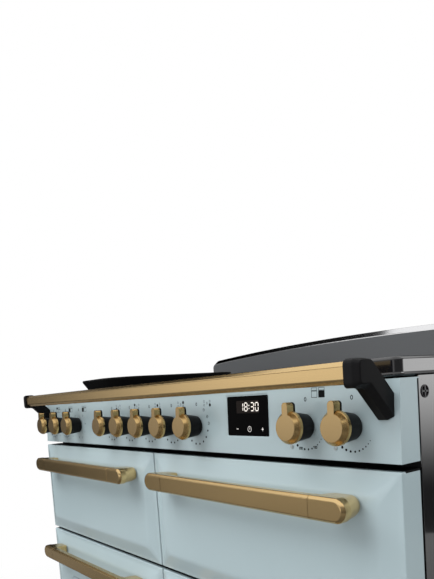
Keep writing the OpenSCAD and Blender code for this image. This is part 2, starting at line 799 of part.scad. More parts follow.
// Griddle with sloped sides, a cooking recess and ribs
module griddle_plate() placed() color(black)
    translate([griddle_x, griddle_y + griddle_length / 2, hob_top + seat_gap]) {
        w = griddle_width;
        l = griddle_length;
        floor_z = griddle_height - griddle_recess;
        r = griddle_corner_r;
        rib_pitch = (w - 56) / (griddle_ribs - 1);
        difference() {
            hull() {
                linear_extrude(1) rounded_rect(w - 2 * griddle_flare, l - 2 * griddle_flare, r - griddle_flare);
                translate([0, 0, griddle_height - 3]) linear_extrude(3) rounded_rect(w, l, r);
            }
            hull() {
                translate([0, 0, floor_z]) linear_extrude(0.5) rounded_rect(w - 36, l - 36, r - 18);
                translate([0, 0, griddle_height]) linear_extrude(1) rounded_rect(w - 16, l - 16, r - 8);
            }
        }
        intersection() {
            for (i = [0 : griddle_ribs - 1])
                translate([(i - (griddle_ribs - 1) / 2) * rib_pitch - 2, -l / 2 + 26, floor_z - 0.5])
                    cube([4, l - 52, 3.5]);
            linear_extrude(griddle_height) rounded_rect(w - 48, l - 48, r - 24);
        }
    }

// Doors

// Pressed door front: flat edge, wide bevels and a raised field
module pressed_form(w, h, wall) hull() {
    translate([0, -door_proud + wall, 0]) upright(0, door_side - wall + 0.01)
        square([w - 2 * wall, h - 2 * wall], center = true);
    translate([0, door_front + wall, 0]) upright(0, 1)
        rounded_rect(w - 2 * bevel_width, h - 2 * bevel_width, field_corner_r);
}

module front_skin(h) difference() {
    pressed_form(door_width, h, 0);
    intersection() {
        pressed_form(door_width, h, sheet);
        span([-door_width, -50, -h], [door_width, door_rear - 0.005, h]);
    }
    span([-door_width, door_rear - 0.005, -h], [door_width, door_rear + 1, h]);
    for (sz = [-1, 1]) translate([0, 0, sz * h / 2]) span(
        [-door_width / 2 + sheet, top_lip, -sheet - 1], [door_width / 2 - sheet, door_rear + 1, sheet + 1]);
}

// Folded inner pan of a door, seated on the skin's sides, with a ridged top edge
module inner_pan(h) {
    x = door_width / 2 - sheet;
    difference() {
        span([-x, top_lip, -h / 2], [x, pan_rear, h / 2]);
        span([-x + pan_sheet, top_lip - 1, -h / 2 + pan_sheet],
             [x - pan_sheet, pan_rear - pan_sheet, h / 2 - pan_sheet]);
        for (y = [top_lip + 6, top_lip + 14]) span([-x + 60, y, h / 2 - 0.8], [x - 60, y + 3, h / 2 + 1]);
    }
}

module column(side, z_mid) placed() translate([side * column_x, 0, z_mid]) children();

upper_mid = (upper_bottom + upper_top) / 2;
lower_mid = (lower_bottom + lower_top) / 2;

// Outline of an oven door's window, grown all round
module window_shape(grow) translate([0, (window_bottom - window_top) / 2]) rounded_rect(
    door_width - 2 * (window_side - grow), lower_height - window_top - window_bottom + 2 * grow, 10 + grow / 2);

// Oven door skin with a stepped window recess
module oven_skin(side) column(side, lower_mid) color(enamel) difference() {
    union() {
        front_skin(lower_height);
        upright(door_front + 0.8, 7) difference() {
            window_shape(window_recess);
            window_shape(0);
        }
    }
    upright(door_front - 1, 4.5) window_shape(window_recess - 5);
    upright(door_front - 1, 20) window_shape(0);
}

module oven_panel(side) column(side, lower_mid) color(black) difference() {
    union() {
        inner_pan(lower_height);
        hinge_boss(side, 1);
        hinge_boss(side, -1);
        difference() {
            upright(top_lip, pan_rear - top_lip) window_shape(6);
            upright(top_lip - 1, pan_rear) window_shape(4);
        }
    }
    upright(0, pan_rear + 1) window_shape(4);
    for (sz = [-1, 1]) hinge_axis(side)
        translate([0, 0, sz * (lower_height / 2 - hinge_pin_length / 2 + 1)])
            cylinder(r = hinge_pin_r + hinge_clearance, h = hinge_pin_length + 3, center = true);
}

module hinge_axis(side) translate([side * (door_width / 2 - hinge_inset), hinge_y, 0]) children();

module hinge_boss(side, sz) hinge_axis(side)
    translate([0, 0, sz * (lower_height / 2 - hinge_pin_length / 2 - pan_sheet)])
        cube([18, 16, hinge_pin_length + 2 * pan_sheet], center = true);

// Outer pane in the skin's step and inner pane in the pan's frame
module oven_window(side) column(side, lower_mid) color("#17181b") {
    upright(door_front + 3.5, pane) window_shape(0);
    upright(pan_rear - pane, pane) window_shape(4);
}

module oven_seal(side) column(side, lower_mid) color(grey)
    upright(pan_rear, frame_y - seat_gap - pan_rear) difference() {
        rounded_rect(door_width - 2 * seal_inset, lower_height - 2 * seal_inset, 16);
        inner = seal_inset + seal_width;
        rounded_rect(door_width - 2 * inner, lower_height - 2 * inner, 8);
    }

// Flat bar between two posts that draw in towards the door
module handle(side, top) placed() translate([side * column_x, 0, top - handle_drop]) color(brass) {
    bar = handle_length - 2 * handle_post - 2 * seam;
    c = handle_chamfer;
    r = handle_height / 2;
    translate([-bar / 2, -handle_reach, 0]) rotate([90, 0, 90]) linear_extrude(bar) polygon([
        [0, -r + c], [c, -r], [handle_thickness - 3, -r], [handle_thickness, -r + 3],
        [handle_thickness, r - 3], [handle_thickness - 3, r], [c, r], [0, r - c]
    ]);
    both_sides() translate([bar / 2 + seam, 0, 0]) {
        hull() {
            end_form(-handle_reach, 0.5, handle_post, r - c, c);
            end_form(-handle_reach + c, 1, handle_post, r, 0);
            end_form(-handle_reach + handle_thickness - 2, 1, handle_post, r, 0);
        }
        hull() {
            translate([3, 0, 0]) end_form(-handle_reach + handle_thickness - 1, 1, handle_post - 4, r - 1, 0);
            translate([7, 0, 0])
                end_form(door_front - 1, 1, handle_post - 7 - 2 * post_taper, r - post_taper / 2, 0);
        }
    }
}

// Plate with one square and one round end
module end_form(y, depth, length, r, inset) upright(y, depth) {
    translate([0, -r]) square([length - r - inset, 2 * r]);
    translate([length - r - inset, 0]) circle(r, $fn = 32);
}

module left_door_skin() oven_skin(-1);
module left_door_panel() oven_panel(-1);
module left_door_window() oven_window(-1);
module left_door_seal() oven_seal(-1);
module left_door_handle() handle(-1, lower_top);
module right_door_skin() oven_skin(1);
module right_door_panel() oven_panel(1);
module right_door_window() oven_window(1);
module right_door_seal() oven_seal(1);
module right_door_handle() handle(1, lower_top);
module grill_front() column(-1, upper_mid) color(enamel) front_skin(upper_height);
module grill_handle() handle(-1, upper_top);
module drawer_front() column(1, upper_mid) color(enamel) front_skin(upper_height);
module drawer_handle() handle(1, upper_top);

// Plates on the front frame, each with a pin into an oven door
module door_hinges() placed() color(steel) both_sides() {
    hinge(lower_top + (row_gap - hinge_plate) / 2, lower_top - hinge_pin_length);
    hinge(lower_bottom - (plinth_gap + hinge_plate) / 2, lower_bottom + hinge_pin_length);
}

module hinge(plate_z, pin_end) {
    span([half_width - 26, hinge_y - 9, plate_z], [half_width - 5, frame_y, plate_z + hinge_plate]);
    pin_start = plate_z + hinge_plate / 2;
    translate([half_width - hinge_inset, hinge_y, min(pin_start, pin_end)])
        cylinder(r = hinge_pin_r, h = abs(pin_end - pin_start));
}

// Cavities

// Liner with an open front and a flange against the front frame
module liner(side, low, high, depth) {
    x = cavity_width / 2;
    z = (high - low) / 2;
    wall = liner_wall;
    edge = liner_flange;
    translate([side * column_x, frame_rear, (low + high) / 2]) difference() {
        union() {
            span([-x - wall, 0, -z - wall], [x + wall, depth + wall, z + wall]);
            span([-x - edge, 0, -z - edge], [x + edge, wall, z + edge]);
        }
        span([-x, -1, -z], [x, depth, z]);
    }
}

// Liners with holes for the fan's shaft and the element's ends
module oven_liners() placed() color(grey) for (side = [-1, 1]) difference() {
    liner(side, oven_low, oven_high, oven_depth);
    translate([side * column_x, oven_rear - 1, fan_z]) {
        rotate([-90, 0, 0]) cylinder(r = 2 * fan_shaft_r, h = liner_wall + 2);
        ring_ends() rotate([-90, 0, 0]) cylinder(r = element_r + seat_gap, h = liner_wall + 2);
    }
}

// Ledges for the shelves on the liners' walls
module shelf_ledges() placed() color(grey) for (side = [-1, 1]) {
    for (level = [0 : shelf_levels - 1], sx = [-1, 1])
        translate([side * column_x + sx * ((cavity_width - ledge_reach) / 2 - seam), shelf_y, 0])
            translate([0, 0, shelf_low + level * shelf_pitch])
                cube([ledge_reach, shelf_length + 6, ledge_height], center = true);
}

// Ring element round each oven's fan, clamped at its two ends, which pass through the liner
module oven_elements() placed() color("#3a3634") for (side = [-1, 1]) translate([side * column_x, 0, fan_z]) {
    ring_y = cover_y + fan_chamber / 2;
    plate_y = oven_rear + liner_wall;
    clamp = element_r + 2;
    translate([0, ring_y, 0]) rotate([90, 0, 0]) rotate_extrude() translate([ring_r, 0]) circle(element_r);
    clamp_x = ring_end + clamp;
    span([-clamp_x, ring_y - clamp, -ring_r - clamp], [clamp_x, ring_y + clamp, clamp - ring_r]);
    ring_ends() upright(ring_y + clamp, plate_y + 18 - ring_y - clamp) circle(element_r);
    translate([0, 0, -ring_drop]) upright(plate_y, 2) square([2 * ring_end + 18, 16], center = true);
}

module ring_ends() for (sx = [-1, 1]) translate([sx * ring_end, 0, -ring_drop]) children();

// One wire shelf in each oven
module oven_shelves() placed() color("#b9bcc0") for (side = [-1, 1]) {
    w = cavity_width - 2 * shelf_clearance;
    wire_pitch = w / (shelf_wires + 1);
    translate([side * column_x, shelf_y, shelf_z]) {
        for (sx = [-1, 1]) translate([sx * (w / 2 - wire_r), 0, 0]) rotate([90, 0, 0])
            cylinder(r = wire_r, h = shelf_length, center = true);
        for (sy = [-1, 1]) translate([0, sy * (shelf_length / 2 - wire_r), 0]) rotate([0, 90, 0])
            cylinder(r = wire_r, h = w, center = true);
        for (i = [1 : shelf_wires]) translate([-w / 2 + i * wire_pitch, 0, 0]) rotate([90, 0, 0])
            cylinder(r = wire_r - 0.7, h = shelf_length - 2 * wire_r, center = true);
    }
}

// Fan covers: dished plates with a ring of slots and a centre grille
module fan_covers() placed() color(grey) for (side = [-1, 1]) translate([side * column_x, 0, fan_z]) {
    w = cavity_width - 24;
    h = oven_high - oven_low - 24;
    grille_r = 46;
    bar_pitch = 12;
    difference() {
        upright(cover_y, fan_chamber - seat_gap) rounded_rect(w, h, 12);
        upright(cover_y + liner_wall, fan_chamber) rounded_rect(w - 2 * liner_wall, h - 2 * liner_wall, 10);
        upright(cover_y - 1, liner_wall + 2) {
            for (i = [0 : 15]) rotate(i * 22.5) translate([cover_ring_r, 0]) rounded_rect(26, 7, 3.4);
            for (i = [-3 : 3]) translate([0, i * bar_pitch])
                square([2 * sqrt(grille_r * grille_r - pow(i * bar_pitch, 2)), 5], center = true);
        }
        upright(cover_y + 8, fan_chamber) square([w + 10, 26], center = true);
    }
}

// Bladed wheel on a backing disc, with its shaft into the motor
module oven_fan(side) placed() color(steel) translate([side * column_x, 0, fan_z]) {
    hub_y = cover_y + liner_wall + 4;
    blade = fan_chamber - liner_wall - 12;
    upright(hub_y + blade - 1.5, 1.5) circle(fan_r);
    for (i = [0 : fan_blades - 1]) rotate([0, i * 360 / fan_blades, 0])
        translate([fan_r * 0.5, hub_y, -0.6]) cube([fan_r * 0.48, blade, 1.2]);
    upright(hub_y + blade - 4, 4) circle(fan_shaft_r + 6);
    upright(hub_y, oven_rear + liner_wall + shaft_depth - hub_y) circle(fan_shaft_r);
}

module left_oven_fan() oven_fan(-1);
module right_oven_fan() oven_fan(1);

module fan_motors() placed() color(grey) for (side = [-1, 1])
    translate([side * column_x, oven_rear + liner_wall, fan_z]) rotate([-90, 0, 0]) difference() {
        union() {
            cylinder(r = motor_r, h = motor_length);
            translate([-motor_r - 14, -9, 0]) cube([2 * motor_r + 28, 18, 2]);
        }
        translate([0, 0, -1]) cylinder(r = fan_shaft_r + fan_clearance, h = shaft_depth + 4);
    }

// Liners of the grill cavity and of the drawer
module upper_liners() placed() color(grey)
    for (side = [-1, 1]) liner(side, upper_low, upper_high, upper_depth);

// Grill element: parallel runs of tube joined by bends, under the cavity's roof
module grill_element() placed() color("#3a3634") {
    run_pitch = (cavity_width - 110) / (element_runs - 1);
    front = frame_rear + 60;
    rear = upper_rear - 50;
    translate([-column_x - (element_runs - 1) * run_pitch / 2, 0, upper_high - 4 * element_r]) {
        for (i = [0 : element_runs - 1])
            element_run(i * run_pitch, front, i % (element_runs - 1) == 0 ? upper_rear : rear);
        for (i = [0 : element_runs - 2]) translate([(i + 0.5) * run_pitch, i % 2 == 0 ? front : rear, 0])
            rotate([0, 0, i % 2 == 0 ? 180 : 0])
                rotate_extrude(angle = 180) translate([run_pitch / 2, 0]) circle(element_r);
    }
}

module element_run(x, front, rear) translate([x, front, 0])
    rotate([-90, 0, 0]) cylinder(r = element_r, h = rear - front);

// Fixed channels that the grill's and the drawer's rails run in
module slide_runners() placed() color(steel) for (side = [-1, 1]) translate([side * column_x, 0, slide_z])
    both_sides() {
        gap = slide_clearance;
        wall = runner_wall;
        front = frame_rear + 6;
        rear = front + slide_length;
        difference() {
            span([lip_x, front, -wall - gap], [cavity_width / 2, rear, slide_height + wall + gap]);
            span([slide_side - gap, front - 1, -gap],
                 [slide_side + slide_thickness + gap, rear + 1, slide_height + gap]);
            span([lip_x - 1, front - 1, web_z - 1], [slide_side, rear + 1, slide_height - web_z + 1]);
        }
    }

// Rails fixed to the front, at both sides of a cavity
module sliding_rails() both_sides()
    span([slide_side, pan_rear, 0], [slide_side + slide_thickness, rail_rear, slide_height]);

// Backing of the grill's front, with its rails and the strips that the pan hangs on
module grill_backing() placed() color(black) {
    translate([-column_x, 0, upper_mid]) inner_pan(upper_height);
    translate([-column_x, 0, slide_z]) {
        sliding_rails();
        both_sides() span([strip_x, pan_rear, web_z], [slide_side, rail_rear - 20, slide_height - web_z]);
    }
}

// Grill pan with a rim that lies on the strips
module grill_pan() placed() color(black) translate([-column_x, tray_y, slide_z + slide_height - web_z]) {
    x = strip_x - tray_gap;
    difference() {
        span([-x, 0, pan_rim - pan_height], [x, pan_length, pan_rim]);
        span([-x + tray_wall, tray_wall, pan_rim - pan_height + tray_wall],
             [x - tray_wall, pan_length - tray_wall, pan_rim + 1]);
    }
    both_sides() span([x, 0, seat_gap], [lip_x - tray_gap, pan_length, seat_gap + 2]);
}

// Wire trivet on four legs in the grill pan
module grill_trivet() placed() color("#b9bcc0") {
    w = 2 * (strip_x - tray_gap - tray_wall - 1);
    l = pan_length - 2 * tray_wall - 1;
    leg = 14;
    pan_floor = slide_z + slide_height - web_z + pan_rim - pan_height + tray_wall;
    translate([-column_x, tray_y + pan_length / 2, pan_floor + leg]) {
        for (i = [0 : 12]) translate([0, -l / 2 + wire_r + i * (l - 2 * wire_r) / 12, 0])
            rotate([0, 90, 0]) cylinder(r = wire_r - 0.8, h = w, center = true);
        for (sx = [-1, 1]) translate([sx * (w / 2 - wire_r - 20), 0, 0]) {
            rotate([90, 0, 0]) cylinder(r = wire_r, h = l, center = true);
            for (sy = [-1, 1]) translate([0, sy * (l / 2 - 30), 0.05 - leg]) cylinder(r = wire_r, h = leg);
        }
    }
}

// Folded drawer behind its front, on the sliding rails
module drawer_box() placed() color(steel) {
    x = lip_x - tray_gap;
    floor_z = upper_low + 6;
    translate([column_x, 0, upper_mid]) inner_pan(upper_height);
    translate([column_x, 0, slide_z]) {
        sliding_rails();
        both_sides() span([x, pan_rear, web_z], [slide_side, rail_rear, slide_height - web_z]);
    }
    translate([column_x, 0, floor_z]) difference() {
        span([-x, pan_rear, 0], [x, rail_rear, drawer_height]);
        span([-x + tray_wall, pan_rear + tray_wall, tray_wall],
             [x - tray_wall, rail_rear - tray_wall, drawer_height + 1]);
    }
}

// Terminal box inside the rear panel, with the cable entry through it
module mains_inlet() placed() color(black) {
    collar = 8;
    entry_y = rear_panel_y + sheet + collar - cable_entry_length;
    translate([cable_entry_x, entry_y, tray_z + tray_height + cable_entry_z]) rotate([-90, 0, 0]) difference() {
        union() {
            span([-terminal_width / 2, -terminal_height / 2, rear_panel_y - entry_y - terminal_depth],
                 [terminal_width / 2, terminal_height / 2, rear_panel_y - entry_y]);
            cylinder(r = cable_entry_r + 4, h = cable_entry_length);
            translate([0, 0, cable_entry_length - collar]) cylinder(r = cable_entry_r + 7, h = 6);
        }
        cylinder(r = cable_entry_r, h = cable_entry_length + 1);
    }
}

base_tray();
levelling_feet();
side_panels();
shelf_ledges();
rear_panel();
front_frame();
plinth();
control_fascia();
clock_panel();
indicator_lenses();
control_switches();
hob_frame();
hob_glass();
induction_coils();
rear_upstand();
handrail();
rail_brackets();
side_plugs();
mains_inlet();
upper_liners();
grill_element();
slide_runners();
oven_liners();
oven_elements();
oven_shelves();
fan_covers();
fan_motors();
induction_generators();
door_hinges();
left_oven_fan();
right_oven_fan();
grill_front();
grill_backing();
grill_handle();
grill_pan();
grill_trivet();
drawer_front();
drawer_box();
drawer_handle();
left_door_skin();
left_door_panel();
left_door_window();
left_door_seal();
left_door_handle();
right_door_skin();
right_door_panel();
right_door_window();
right_door_seal();
right_door_handle();
griddle_plate();
knob_1();
knob_2();
knob_3();
knob_4();
knob_5();
knob_6();
knob_7();
knob_8();
knob_9();
knob_10();
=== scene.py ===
"""Looks of the induction range cooker: enamel, brass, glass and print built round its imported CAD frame."""

import logging
import math
from collections.abc import Callable, Iterable, Sequence
from dataclasses import dataclass, field
from enum import Enum

import bmesh
import bpy
from mathutils import Matrix, Vector

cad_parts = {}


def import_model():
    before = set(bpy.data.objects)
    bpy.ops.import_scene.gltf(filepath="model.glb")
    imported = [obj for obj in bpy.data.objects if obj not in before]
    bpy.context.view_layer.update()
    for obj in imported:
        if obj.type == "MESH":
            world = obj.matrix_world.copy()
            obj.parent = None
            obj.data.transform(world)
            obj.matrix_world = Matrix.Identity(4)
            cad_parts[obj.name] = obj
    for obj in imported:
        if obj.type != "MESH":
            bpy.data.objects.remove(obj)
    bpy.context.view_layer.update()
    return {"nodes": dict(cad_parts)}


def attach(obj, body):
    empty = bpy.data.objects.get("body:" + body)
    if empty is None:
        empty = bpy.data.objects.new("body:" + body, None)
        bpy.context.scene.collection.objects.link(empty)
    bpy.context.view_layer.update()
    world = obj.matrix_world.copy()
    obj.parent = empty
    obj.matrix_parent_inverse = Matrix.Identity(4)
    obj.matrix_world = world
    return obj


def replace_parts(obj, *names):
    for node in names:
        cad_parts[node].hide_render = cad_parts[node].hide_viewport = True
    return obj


LOG = logging.getLogger("range_cooker")
Point = tuple[float, float, float]
Flat = tuple[float, float]
Colour = tuple[float, float, float]
MM = 0.001


def srgb(red: int, green: int, blue: int) -> Colour:
    """Turns an 8-bit sRGB colour into linear values.

    Args:
        red: Red from 0 to 255.
        green: Green from 0 to 255.
        blue: Blue from 0 to 255.

    Returns:
        The linear colour.
    """
    def one(value: int) -> float:
        """Linear value of one channel."""
        c = value / 255
        return c / 12.92 if c <= 0.04045 else ((c + 0.055) / 1.055) ** 2.4

    return one(red), one(green), one(blue)


# Shader maths


class Sock:
    """An output socket, or a constant, with arithmetic that adds Math nodes."""

    def __init__(self, graph: "Graph", value: "bpy.types.NodeSocket | float") -> None:
        """Keeps the graph and the socket or number."""
        self.graph = graph
        self.value = value

    def _math(self, operation: str, *others: "Sock | float", flip: bool = False) -> "Sock":
        """Adds a Math node.

        Args:
            operation: Blender's name of the operation.
            others: The other operands.
            flip: True puts this operand last.

        Returns:
            The node's output.
        """
        operands = [self, *others]
        if flip:
            operands.reverse()
        return self.graph.node("ShaderNodeMath", {"operation": operation}, dict(enumerate(operands)))

    def __add__(self, other: "Sock | float") -> "Sock":
        """Sum."""
        return self._math("ADD", other)

    __radd__ = __add__

    def __mul__(self, other: "Sock | float") -> "Sock":
        """Product."""
        return self._math("MULTIPLY", other)

    __rmul__ = __mul__

    def __sub__(self, other: "Sock | float") -> "Sock":
        """Difference."""
        return self._math("SUBTRACT", other)

    def __rsub__(self, other: "Sock | float") -> "Sock":
        """Reflected difference."""
        return self._math("SUBTRACT", other, flip=True)

    def __truediv__(self, other: "Sock | float") -> "Sock":
        """Quotient."""
        return self._math("DIVIDE", other)

    def __rtruediv__(self, other: "Sock | float") -> "Sock":
        """Reflected quotient."""
        return self._math("DIVIDE", other, flip=True)

    def __pow__(self, other: "Sock | float") -> "Sock":
        """Power."""
        return self._math("POWER", other)

    def ramp(self, start: float, end: float, low: float = 0.0, high: float = 1.0) -> "Sock":
        """Smooth step between two values.

        Args:
            start: Input value at which the result is low.
            end: Input value at which the result is high.
            low: Result below start.
            high: Result above end.

        Returns:
            The stepped value.
        """
        return self.graph.node(
            "ShaderNodeMapRange", {"interpolation_type": "SMOOTHSTEP"},
            {0: self, 1: start, 2: end, 3: low, 4: high},
        )


class Graph:
    """Node tree of one material or world, with one method that adds any node."""

    def __init__(self, tree: bpy.types.NodeTree) -> None:
        """Empties the tree."""
        self.tree = tree
        tree.nodes.clear()

    def node(
        self, kind: str, settings: dict[str, object] | None = None,
        inputs: "dict[int | str, object] | None" = None, out: int | str = 0,
    ) -> Sock:
        """Adds a node.

        Args:
            kind: The node's type.
            settings: Properties, set first.
            inputs: Values or sockets by index or name.
            out: Which output is returned.

        Returns:
            That output.
        """
        made = self.tree.nodes.new(kind)
        for key, value in (settings or {}).items():
            setattr(made, key, value)
        for key, value in (inputs or {}).items():
            self.feed(made.inputs[key], value)
        return Sock(self, made.outputs[out] if len(made.outputs) else 0.0)

    def feed(self, target: bpy.types.NodeSocket, value: object) -> None:
        """Links a socket or sets a constant.

        Args:
            target: The input.
            value: A Sock, number, vector or colour.
        """
        if isinstance(value, Sock):
            value = value.value
        if isinstance(value, bpy.types.NodeSocket):
            self.tree.links.new(value, target)
        elif isinstance(value, (tuple, list)) and target.type == "RGBA":
            target.default_value = (*value[:3], 1.0)
        else:
            target.default_value = value

    def point(self) -> Sock:
        """Position on the object in metres."""
        return self.node("ShaderNodeTexCoord", out="Object")

    def part(self, vector: Sock, axis: int) -> Sock:
        """One component of a vector."""
        return self.node("ShaderNodeSeparateXYZ", None, {0: vector}, out=axis)

    def scaled(self, vector: Sock, scale: Point) -> Sock:
        """Vector times another, component by component."""
        return self.node("ShaderNodeVectorMath", {"operation": "MULTIPLY"}, {0: vector, 1: scale})

    def noise(
        self, scale: float, detail: float = 2.0, stretch: Point = (1, 1, 1), rough: float = 0.5,
    ) -> Sock:
        """Noise over the object.

        Args:
            scale: Features per metre.
            detail: Octaves.
            stretch: Scale along each axis.
            rough: Weight of the finer octaves.

        Returns:
            Its value, about 0.5 on average.
        """
        vector = self.scaled(self.point(), stretch)
        return self.node(
            "ShaderNodeTexNoise", None,
            {"Vector": vector, "Scale": scale, "Detail": detail, "Roughness": rough})

    def blend(self, factor: "Sock | float", first: object, second: object) -> Sock:
        """Mix of two colours by a factor."""
        made = self.tree.nodes.new("ShaderNodeMix")
        made.data_type = "RGBA"
        self.feed(made.inputs[0], factor)
        self.feed(made.inputs[6], first)
        self.feed(made.inputs[7], second)
        return Sock(self, made.outputs[2])

    def bump(self, height: Sock, distance: float, strength: float = 1.0) -> Sock:
        """Bumped normal from a height."""
        return self.node(
            "ShaderNodeBump", None, {"Strength": strength, "Distance": distance, "Height": height})


# Finishes


@dataclass(frozen=True)
class Finish:
    """A finish that one material shows.

    Attributes:
        name: Name of the material.
        slot: The record's slot it belongs to.
        colour: Linear base colour.
        rough: Roughness.
        metal: Metallic.
    """

    name: str
    slot: str
    colour: Colour
    rough: float = 0.4
    metal: float = 0.0

    def material(self) -> bpy.types.Material:
        """The material, made once."""
        known = bpy.data.materials.get(self.name)
        if known:
            return known
        made = bpy.data.materials.new(self.name)
        made.use_nodes = True
        made.diffuse_color = (*self.colour, 1.0)
        graph = Graph(made.node_tree)
        shader = made.node_tree.nodes.new("ShaderNodeBsdfPrincipled")
        shader.inputs["Metallic"].default_value = self.metal
        self.dress(graph, shader)
        target = made.node_tree.nodes.new("ShaderNodeOutputMaterial")
        made.node_tree.links.new(shader.outputs[0], target.inputs[0])
        return made

    def dress(self, graph: Graph, shader: bpy.types.Node) -> None:
        """Feeds the shader.

        Args:
            graph: The material's graph.
            shader: Its Principled node.
        """
        patch = graph.noise(9.0, 3.0)
        fine = graph.noise(420.0, 2.0)
        shade = patch * 0.08 + 0.96
        graph.feed(shader.inputs["Base Color"], graph.node(
            "ShaderNodeVectorMath", {"operation": "SCALE"}, {0: self.colour, "Scale": shade}))
        graph.feed(shader.inputs["Roughness"], fine * 0.10 + patch * 0.08 + (self.rough - 0.09))


@dataclass(frozen=True)
class Enamel(Finish):
    """Sprayed vitreous enamel: an even gloss with a slight orange peel."""

    peel: float = 0.00006
    coat: float = 0.35
    coat_ior: float = 1.5
    specular: float = 0.5

    def dress(self, graph: Graph, shader: bpy.types.Node) -> None:
        """Feeds an even colour, a thin clear coat and the peel."""
        cloud = graph.noise(5.0, 2.0)
        peel = graph.noise(260.0, 1.0)
        graph.feed(shader.inputs["Base Color"], graph.node(
            "ShaderNodeVectorMath", {"operation": "SCALE"}, {0: self.colour, "Scale": cloud * 0.04 + 0.98}))
        graph.feed(shader.inputs["Roughness"], cloud * 0.06 + (self.rough - 0.03))
        graph.feed(shader.inputs["Normal"], graph.bump(peel, self.peel, 0.5))
        shader.inputs["Specular IOR Level"].default_value = self.specular
        shader.inputs["Coat Weight"].default_value = self.coat
        shader.inputs["Coat Roughness"].default_value = 0.04
        shader.inputs["Coat IOR"].default_value = self.coat_ior


@dataclass(frozen=True)
class Brushed(Finish):
    """Metal with fine lines along one axis."""

    axis: int = 0
    lines: float = 0.000012
    contrast: float = 1.0

    def dress(self, graph: Graph, shader: bpy.types.Node) -> None:
        """Feeds streaks to the colour, the roughness and the normal."""
        stretch = tuple(0.02 if i == self.axis else 1.0 for i in range(3))
        streak = graph.noise(2600.0, 2.0, stretch)
        broad = graph.noise(160.0, 2.0, stretch)
        patch = graph.noise(14.0, 2.0)
        k = self.contrast
        shade = streak * (0.10 * k) + broad * (0.06 * k) + patch * 0.04 + (0.98 - 0.08 * k)
        graph.feed(shader.inputs["Base Color"], graph.node(
            "ShaderNodeVectorMath", {"operation": "SCALE"}, {0: self.colour, "Scale": shade}))
        base = self.rough - 0.02 - 0.04 * k
        graph.feed(shader.inputs["Roughness"], streak * (0.08 * k) + patch * 0.04 + base)
        graph.feed(shader.inputs["Normal"], graph.bump(streak, self.lines, 0.5))


@dataclass(frozen=True)
class Grained(Finish):
    """Moulded or cast material with a fine grain."""

    grain: float = 900.0
    height: float = 0.0001
    specular: float = 0.5

    def dress(self, graph: Graph, shader: bpy.types.Node) -> None:
        """Feeds the grain to the normal and the roughness."""
        grain = graph.noise(self.grain, 3.0)
        patch = graph.noise(12.0, 2.0)
        graph.feed(shader.inputs["Base Color"], graph.node(
            "ShaderNodeVectorMath", {"operation": "SCALE"}, {0: self.colour, "Scale": patch * 0.16 + 0.92}))
        graph.feed(shader.inputs["Roughness"], grain * 0.14 + patch * 0.08 + (self.rough - 0.11))
        graph.feed(shader.inputs["Normal"], graph.bump(grain, self.height, 0.4))
        shader.inputs["Specular IOR Level"].default_value = self.specular


@dataclass(frozen=True)
class Speckled(Finish):
    """Vitreous cavity enamel with small light specks."""

    speck: Colour = (0.35, 0.37, 0.40)

    def dress(self, graph: Graph, shader: bpy.types.Node) -> None:
        """Feeds specks to the colour."""
        speck = graph.noise(1100.0, 1.0).ramp(0.66, 0.72)
        cloud = graph.noise(12.0, 2.0)
        graph.feed(shader.inputs["Base Color"], graph.blend(speck * 0.8, self.colour, self.speck))
        graph.feed(shader.inputs["Roughness"], cloud * 0.12 + (self.rough - 0.06))
        shader.inputs["Coat Weight"].default_value = 0.5


@dataclass(frozen=True)
class Glass(Finish):
    """Dark glass: black body with a clean gloss and faint wipe marks."""

    coat: float = 1.0
    specular: float = 0.5

    def dress(self, graph: Graph, shader: bpy.types.Node) -> None:
        """Feeds faint wipe marks to the roughness."""
        shader.inputs["Specular IOR Level"].default_value = self.specular
        wipe = graph.noise(7.0, 4.0, (1.0, 0.35, 0.6)).ramp(0.45, 0.75, 0.0, 0.05)
        tint = graph.noise(4.0, 2.0)
        graph.feed(shader.inputs["Base Color"], graph.node(
            "ShaderNodeVectorMath", {"operation": "SCALE"}, {0: self.colour, "Scale": tint * 0.2 + 0.9}))
        graph.feed(shader.inputs["Roughness"], wipe + self.rough)
        shader.inputs["Coat Weight"].default_value = self.coat
        shader.inputs["Coat Roughness"].default_value = 0.02


@dataclass(frozen=True)
class Glow(Finish):
    """Lit or printed mark that keeps its own light."""

    power: float = 1.0

    def dress(self, graph: Graph, shader: bpy.types.Node) -> None:
        """Feeds the light."""
        flicker = graph.noise(300.0, 1.0)
        graph.feed(shader.inputs["Base Color"], self.colour)
        graph.feed(shader.inputs["Roughness"], flicker * 0.1 + self.rough)
        graph.feed(shader.inputs["Emission Color"], self.colour)
        shader.inputs["Specular IOR Level"].default_value = 0.1
        shader.inputs["Emission Strength"].default_value = self.power


ENAMEL = Enamel("enamel_duck_egg", "enamel", (0.345, 0.43, 0.455), 0.24)
BLACK: Colour = (0.005, 0.005, 0.006)
BLACK_GLOSS = Enamel("enamel_black", "black_gloss", BLACK, 0.16, 0.0, 0.00001, 0.6, 1.5, 0.5)
BLACK_MIRROR = Enamel("enamel_mirror", "black_gloss", BLACK, 0.12, 0.0, 0.00001, 1.0, 3.5, 1.0)
BLACK_SATIN = Grained("paint_black_satin", "black_satin", (0.006, 0.006, 0.0065), 0.42, specular=0.12)
BRASS = Brushed("brass_brushed", "brass", srgb(226, 194, 139), 0.24, 1.0)
BRASS_KNOB = Brushed("brass_knob", "brass", srgb(188, 160, 114), 0.22, 1.0, 0, 0.000006, 0.5)
BRASS_RIM = Brushed("brass_rim", "brass", srgb(214, 180, 122), 0.27, 1.0, 0, 0.000004, 0.4)
UPSTAND = Brushed("steel_grey_coated", "upstand_grey", srgb(96, 98, 100), 0.38, 0.55, 0, 0.00001, 0.5)
